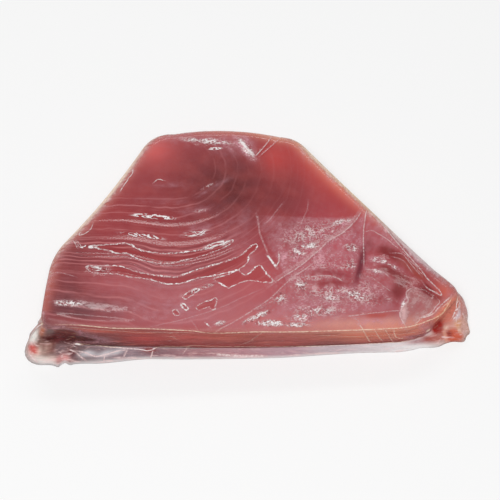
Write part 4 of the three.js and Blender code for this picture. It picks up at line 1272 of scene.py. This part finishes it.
def seam_lines(nodes, mm, flow, number, seen):
    """How much pale seams show, and how much the dark flesh between them does: stops across the
    fraction of a flake's number, which noise makes wander."""
    wander = nodes.math("SUBTRACT", nodes.noise(mm, 0.09), 0.5)
    turn = nodes.math("FRACT", nodes.math("MULTIPLY_ADD", wander, 0.3, number))
    uneven = nodes.span(nodes.noise(nodes.scaled(flow, (0.4, 0.07, 0)), 1.0), 0.3, 0.55)
    many = nodes.parts(flow)[2]
    few = nodes.product(nodes.ramp(turn, PALE_STOPS), nodes.math("SUBTRACT", 1.0, many))
    more = nodes.product(nodes.ramp(turn, MORE_STOPS), many)
    pale = nodes.product(nodes.most(few, more), seen, uneven, 0.85)
    return pale, nodes.product(nodes.ramp(turn, DARK_STOPS), seen, many, 0.55)


def on_face(nodes, mm, tone, frost):
    """The face's colour: blotches, dark specks under frosted film, fibres and seams."""
    flow = nodes.field("flow", "Vector")
    number, seen, _ = nodes.parts(nodes.field("flake", "Vector"))
    pale, deep = seam_lines(nodes, mm, flow, number, seen)
    blotches = nodes.noise(mm, 0.11, 3.0, 0.55)
    tone = nodes.blend(nodes.span(blotches, 0.35, 0.7, 0.0, 0.2), tone, paint(LIVELY_TONE))
    specks = nodes.span(nodes.noise(mm, 0.9, 3.0, 0.7), 0.52, 0.42)
    deep = nodes.most(deep, nodes.product(specks, nodes.span(frost, 0.3, 0.8), 0.8))
    tone = nodes.blend(deep, tone, paint(DEEP_TONE))
    fibres = nodes.noise(nodes.scaled(flow, (1.3, 0.1, 0)), 1.0, 2.0, 0.6)
    shown = nodes.span(seen, 0.2, 0.9, 0.05, 1.0)
    faint = nodes.product(nodes.span(fibres, 0.45, 0.8, 0.0, 0.2), shown)
    tone = nodes.blend(faint, tone, paint(SEAM_TONE))
    return nodes.blend(pale, tone, paint(SEAM_TONE))


def on_wall(nodes, mm, tone):
    """The wall's colour: dark and light streaks, from noise drawn out level along it."""
    grooves = nodes.noise(nodes.scaled(mm, (0.09, 0.09, 0.75)), 1.0, 3.0, 0.6)
    here = nodes.span(nodes.field("past"), 0.2, 2.0, 0.0, 0.42)
    tone = nodes.blend(nodes.product(nodes.span(grooves, 0.5, 0.34), here), tone, paint(WALL_DARK))
    light = nodes.product(nodes.span(grooves, 0.54, 0.7), here)
    return nodes.blend(light, tone, paint(WALL_LIGHT))


def wet_gloss(nodes, shader, mm, frost):
    """A fine bump, and a coat over it that is crumpled where the film is frosted."""
    height, _ = crumple(nodes, mm, 3.0)
    fine = nodes.noise(mm, 1.1, 2.0, 0.6)
    bump = nodes.add("Bump", {"Strength": 0.12, "Distance": 0.0004, "Height": fine})
    crisp = nodes.add("Bump", {"Distance": 0.0005, "Normal": bump.outputs[0], "Strength": 0.4})
    nodes.put(crisp.inputs["Height"], nodes.product(height, frost))
    nodes.put(shader.inputs["Normal"], bump.outputs[0])
    nodes.put(shader.inputs["Coat Normal"], crisp.outputs[0])
    coat = nodes.span(nodes.field("past"), -4.5, -2.0, 0.8, 0.06)
    nodes.put(shader.inputs["Coat Weight"], coat)


def flesh_material():
    """Wet raw flesh: its painted tone, with the grain of the face and of the wall."""
    material, nodes, shader = new_material("raw_tuna")
    mm = nodes.millimetres()
    frost = nodes.parts(nodes.field("flake", "Vector"))[2]
    tone = on_face(nodes, mm, nodes.field("tone", "Color"), frost)
    nodes.put(shader.inputs["Base Color"], on_wall(nodes, mm, tone))
    wet_gloss(nodes, shader, mm, frost)
    shader.inputs["Roughness"].default_value = FLESH_ROUGHNESS
    shader.inputs["Specular IOR Level"].default_value = FLESH_SPECULAR
    shader.inputs["Coat Roughness"].default_value = COAT_ROUGHNESS
    return material


def strokes(nodes, mm, turn):
    """Short bright strokes that lie at an angle: where noise stretched that way is high."""
    turned = nodes.add("Mapping", {"Vector": mm, "Rotation": (0, 0, -math.radians(turn))})
    long = nodes.noise(nodes.scaled(turned.outputs[0], (0.55, 1.9, 1.0)), 1.0, 2.0, 0.6, 0.7)
    return nodes.span(long, 0.6, 0.66)


def pool_rim_glints(nodes, mm, wobble, dashes):
    """Painted highlights on the rims of the air pools: a line along their edges, uneven, dashed and partly
    faded.
    """
    gap = nodes.math("ABSOLUTE", nodes.math("MULTIPLY_ADD", wobble, 1.0, nodes.field("pool")))
    width = nodes.span(nodes.noise(mm, 0.45, 2.0), 0.38, 0.62, 0.22, 0.6)
    rim_glints = nodes.span(nodes.math("DIVIDE", gap, width), 1.0, 0.4)
    faded = nodes.span(nodes.noise(mm, 0.16, 2.0), 0.4, 0.6, 0.6, 1.0)
    return nodes.product(rim_glints, nodes.span(dashes, 0.4, 0.54, 0.35, 1.0), faded)


def crease_highlights(nodes, wobble, dashes):
    """Pale film and painted highlights along the creases, by their own half width and strength, a little
    broken.
    """
    broken = nodes.span(dashes, 0.3, 0.6, 0.45, 1.0)
    lines = []
    for number in range(len(CREASES)):
        crease = nodes.add("Attribute", attribute_name=f"crease_{number}")
        side, near, strength = nodes.parts(crease.outputs["Vector"])
        away = nodes.math("ABSOLUTE", nodes.math("MULTIPLY_ADD", wobble, 0.35, side))
        line = nodes.span(nodes.math("DIVIDE", away, crease.outputs["Alpha"]), 1.0, 0.25)
        lines.append(nodes.product(line, nodes.span(near, 1.4, 0.9), strength, broken))
    return nodes.most(*lines)


def frost_and_sparkle_flecks(nodes, mm, grain, crests):
    """Flecks of frosted film and painted sparkle: strokes, sparks and crests in clumps, and finer crests
    between.
    """
    frost = nodes.field("frost")
    clumps = nodes.math("MULTIPLY_ADD", frost, 0.1, nodes.noise(mm, 0.35, 3.0, 0.6))
    sparks = nodes.span(nodes.math("MULTIPLY_ADD", frost, 0.16, grain), 0.64, 0.7)
    bold = nodes.most(strokes(nodes, mm, 8), strokes(nodes, mm, 52), sparks, crests)
    bold = nodes.product(bold, nodes.span(clumps, 0.47, 0.64), 0.95)
    _, fine = crumple(nodes, nodes.scaled(mm, (1, 1.4, 1)), 1.5)
    sparse = nodes.span(nodes.noise(mm, 0.5, 2.0), 0.4, 0.6)
    flecks = nodes.most(bold, nodes.product(fine, sparse, 0.8))
    return nodes.product(flecks, nodes.span(frost, 0.15, 0.85))


def flake_glints(nodes, flow):
    """Painted glints that run along the flakes: thin squiggles and blobs, where the glint field is high."""
    squiggle = nodes.noise(nodes.scaled(flow, (0.5, 0.2, 0)), 1.0, 2.0, 0.5, 0.9)
    squiggle = nodes.math("ABSOLUTE", nodes.math("SUBTRACT", squiggle, 0.5))
    blobs = nodes.span(nodes.noise(nodes.scaled(flow, (0.8, 0.3, 0)), 1.0, 2.0), 0.56, 0.62)
    glints = nodes.most(nodes.span(squiggle, 0.055, 0.02), blobs)
    return nodes.product(glints, nodes.span(nodes.field("glint"), 0.25, 0.6))


def side_marks(nodes, mm, streaks, slope):
    """White smears on the hem's slope, and faint level scuffs on the wall."""
    smears = nodes.product(nodes.span(streaks, 0.5, 0.7), nodes.span(slope, 0.1, 0.6), 0.45)
    scuffs = nodes.noise(nodes.scaled(mm, (0.22, 0.22, 1.3)), 1.0, 3.0, 0.6)
    below = nodes.span(nodes.field("past"), 0.5, 2.0, 0.0, 0.2)
    return nodes.most(smears, nodes.product(nodes.span(scuffs, 0.56, 0.7), below))


def film_hides(nodes, mm, flow, grain, streaks, slope):
    """How much the film hides: its haze and painted sheen, silky or grainy, and streaked on the hem."""
    loose = nodes.span(grain, 0.42, 0.6, 0.12, 2.1)
    silk = nodes.noise(nodes.scaled(flow, (0.5, 0.12, 0)), 1.0, 3.0)
    uneven = nodes.between(nodes.parts(flow)[2], nodes.span(silk, 0.3, 0.7, 0.6, 1.4), loose)
    coarse = nodes.span(nodes.noise(mm, 0.3, 2.0), 0.35, 0.65, 0.6, 1.4)
    hidden = nodes.field("haze_and_sheen")
    firm = nodes.most(nodes.span(slope, 0.0, 0.1), nodes.span(hidden, 0.5, 0.75))
    streaked = nodes.span(streaks, 0.3, 0.7, 0.85, 1.1)
    haze_and_sheen = nodes.product(hidden, nodes.between(firm, nodes.product(uneven, coarse), streaked))
    return nodes.math("MINIMUM", haze_and_sheen, 1.0)


def film_colour(nodes, white, slope):
    """The film's painted tone, with its bright marks, mostly painted highlights, warmer along the cut edge.
    """
    warm = nodes.product(nodes.span(nodes.field("past"), -3.0, -0.5), nodes.span(slope, 0.1, 0.0))
    dim = nodes.blend(warm, paint(MARK_DIM), paint(MARK_DIM_WARM))
    bright = nodes.blend(warm, MARK_BRIGHT, paint(MARK_WARM))
    shown = nodes.math("MULTIPLY", white, 1.6, clamp=True)
    return nodes.blend(shown, nodes.field("tone", "Color"), nodes.blend(white, dim, bright))


def film_material():
    """Clear film: milky where it is loose or painted with sheen, white with painted highlights on creases,
    pool rims and glints.
    """
    material, nodes, shader = new_material("clear_film")
    mm, flow, slope = nodes.millimetres(), nodes.field("flow", "Vector"), nodes.field("slope")
    wobble = nodes.math("SUBTRACT", nodes.noise(mm, 0.8), 0.5)
    dashes = nodes.noise(mm, 1.1, 2.0)
    grain = nodes.noise(nodes.scaled(mm, (1.0, 1.5, 1.5)), 1.0, 3.0, 0.7)
    streaks = nodes.noise(nodes.scaled(mm, (0.12, 0.8, 0.8)), 1.0, 3.0, 0.6)
    height, crests = crumple(nodes, nodes.scaled(mm, (0.8, 1.3, 1.3)), 2.4)
    white = nodes.most(
        pool_rim_glints(nodes, mm, wobble, dashes), crease_highlights(nodes, wobble, dashes),
        frost_and_sparkle_flecks(nodes, mm, grain, crests), flake_glints(nodes, flow),
        side_marks(nodes, mm, streaks, slope),
    )
    haze_and_sheen = film_hides(nodes, mm, flow, grain, streaks, slope)
    clear = nodes.math("SUBTRACT", 1.0, haze_and_sheen)
    alpha = nodes.math("MULTIPLY_ADD", nodes.product(white, 0.9), clear, haze_and_sheen)
    nodes.put(shader.inputs["Alpha"], nodes.math("MINIMUM", alpha, 1.0))
    nodes.put(shader.inputs["Base Color"], film_colour(nodes, white, slope))
    bump = nodes.add("Bump", {"Strength": 0.4, "Distance": 0.0005, "Height": height})
    nodes.put(shader.inputs["Normal"], bump.outputs[0])
    shader.inputs["Roughness"].default_value = FILM_ROUGHNESS
    shader.inputs["Specular IOR Level"].default_value = FILM_SPECULAR
    return material


# ------------------------------------------------------------------ camera, floor and light


def aim(thing, where, target):
    """Puts a camera or light at a place, looking at a target."""
    thing.location = where
    thing.rotation_euler = Vector(np.subtract(target, where)).to_track_quat("-Z", "Y").to_euler()


def add_camera():
    """The camera, in front of the steak and above it, at the target."""
    data = bpy.data.cameras.new("camera")
    data.sensor_width = CAMERA_SENSOR
    data.lens = CAMERA_LENS
    camera = bpy.data.objects.new("camera", data)
    bpy.context.scene.collection.objects.link(camera)
    target = placed(CAMERA_TARGET)
    lift = math.radians(CAMERA_LIFT)
    away = CAMERA_DISTANCE / 1000 * np.array([0, -math.cos(lift), math.sin(lift)])
    aim(camera, target + away, target)
    bpy.context.scene.camera = camera


def add_light(name, where, size, power):
    """A softbox that looks at the origin."""
    data = bpy.data.lights.new(name, "AREA")
    data.shape = "RECTANGLE"
    data.size, data.size_y = size
    data.energy = power
    light = bpy.data.objects.new(name, data)
    bpy.context.scene.collection.objects.link(light)
    aim(light, np.array(where), np.zeros(3))


def add_floor():
    """A plain pale floor that glows a little, so it stays even."""
    mesh = bpy.data.meshes.new("floor")
    corners = [(x * FLOOR_HALF, y * FLOOR_HALF, 0) for x, y in ((-1, -1), (1, -1), (1, 1), (-1, 1))]
    mesh.from_pydata(corners, [], [(0, 1, 2, 3)])
    floor = bpy.data.objects.new("floor", mesh)
    bpy.context.scene.collection.objects.link(floor)
    material, _, shader = new_material("pale_floor")
    shader.inputs["Base Color"].default_value = (FLOOR_TONE, FLOOR_TONE, FLOOR_TONE, 1)
    shader.inputs["Emission Color"].default_value = (1, 1, 1, 1)
    shader.inputs["Emission Strength"].default_value = FLOOR_GLOW
    shader.inputs["Roughness"].default_value = FLOOR_ROUGHNESS
    shader.inputs["Specular IOR Level"].default_value = 0.0
    mesh.materials.append(material)


def add_world():
    """Even white light from all round."""
    world = bpy.data.worlds.new("world")
    bpy.context.scene.world = world
    world.use_nodes = True
    sky = world.node_tree.nodes["Background"]
    sky.inputs["Color"].default_value = (1, 1, 1, 1)
    sky.inputs["Strength"].default_value = WORLD_LIGHT


add_camera()
add_floor()
add_world()
for name, (where, size, power) in LIGHTS.items():
    add_light(name, where, size, power)
bpy.context.scene.view_settings.view_transform = "Standard"

flesh, film = make_flesh(), make_film()
flesh.data.materials.append(flesh_material())
film.data.materials.append(film_material())
for piece, node, slot in ((flesh, "tuna_steak", "tuna_flesh"), (film, "film_hem", "clear_film")):
    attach(piece, "root")
    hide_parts(node)
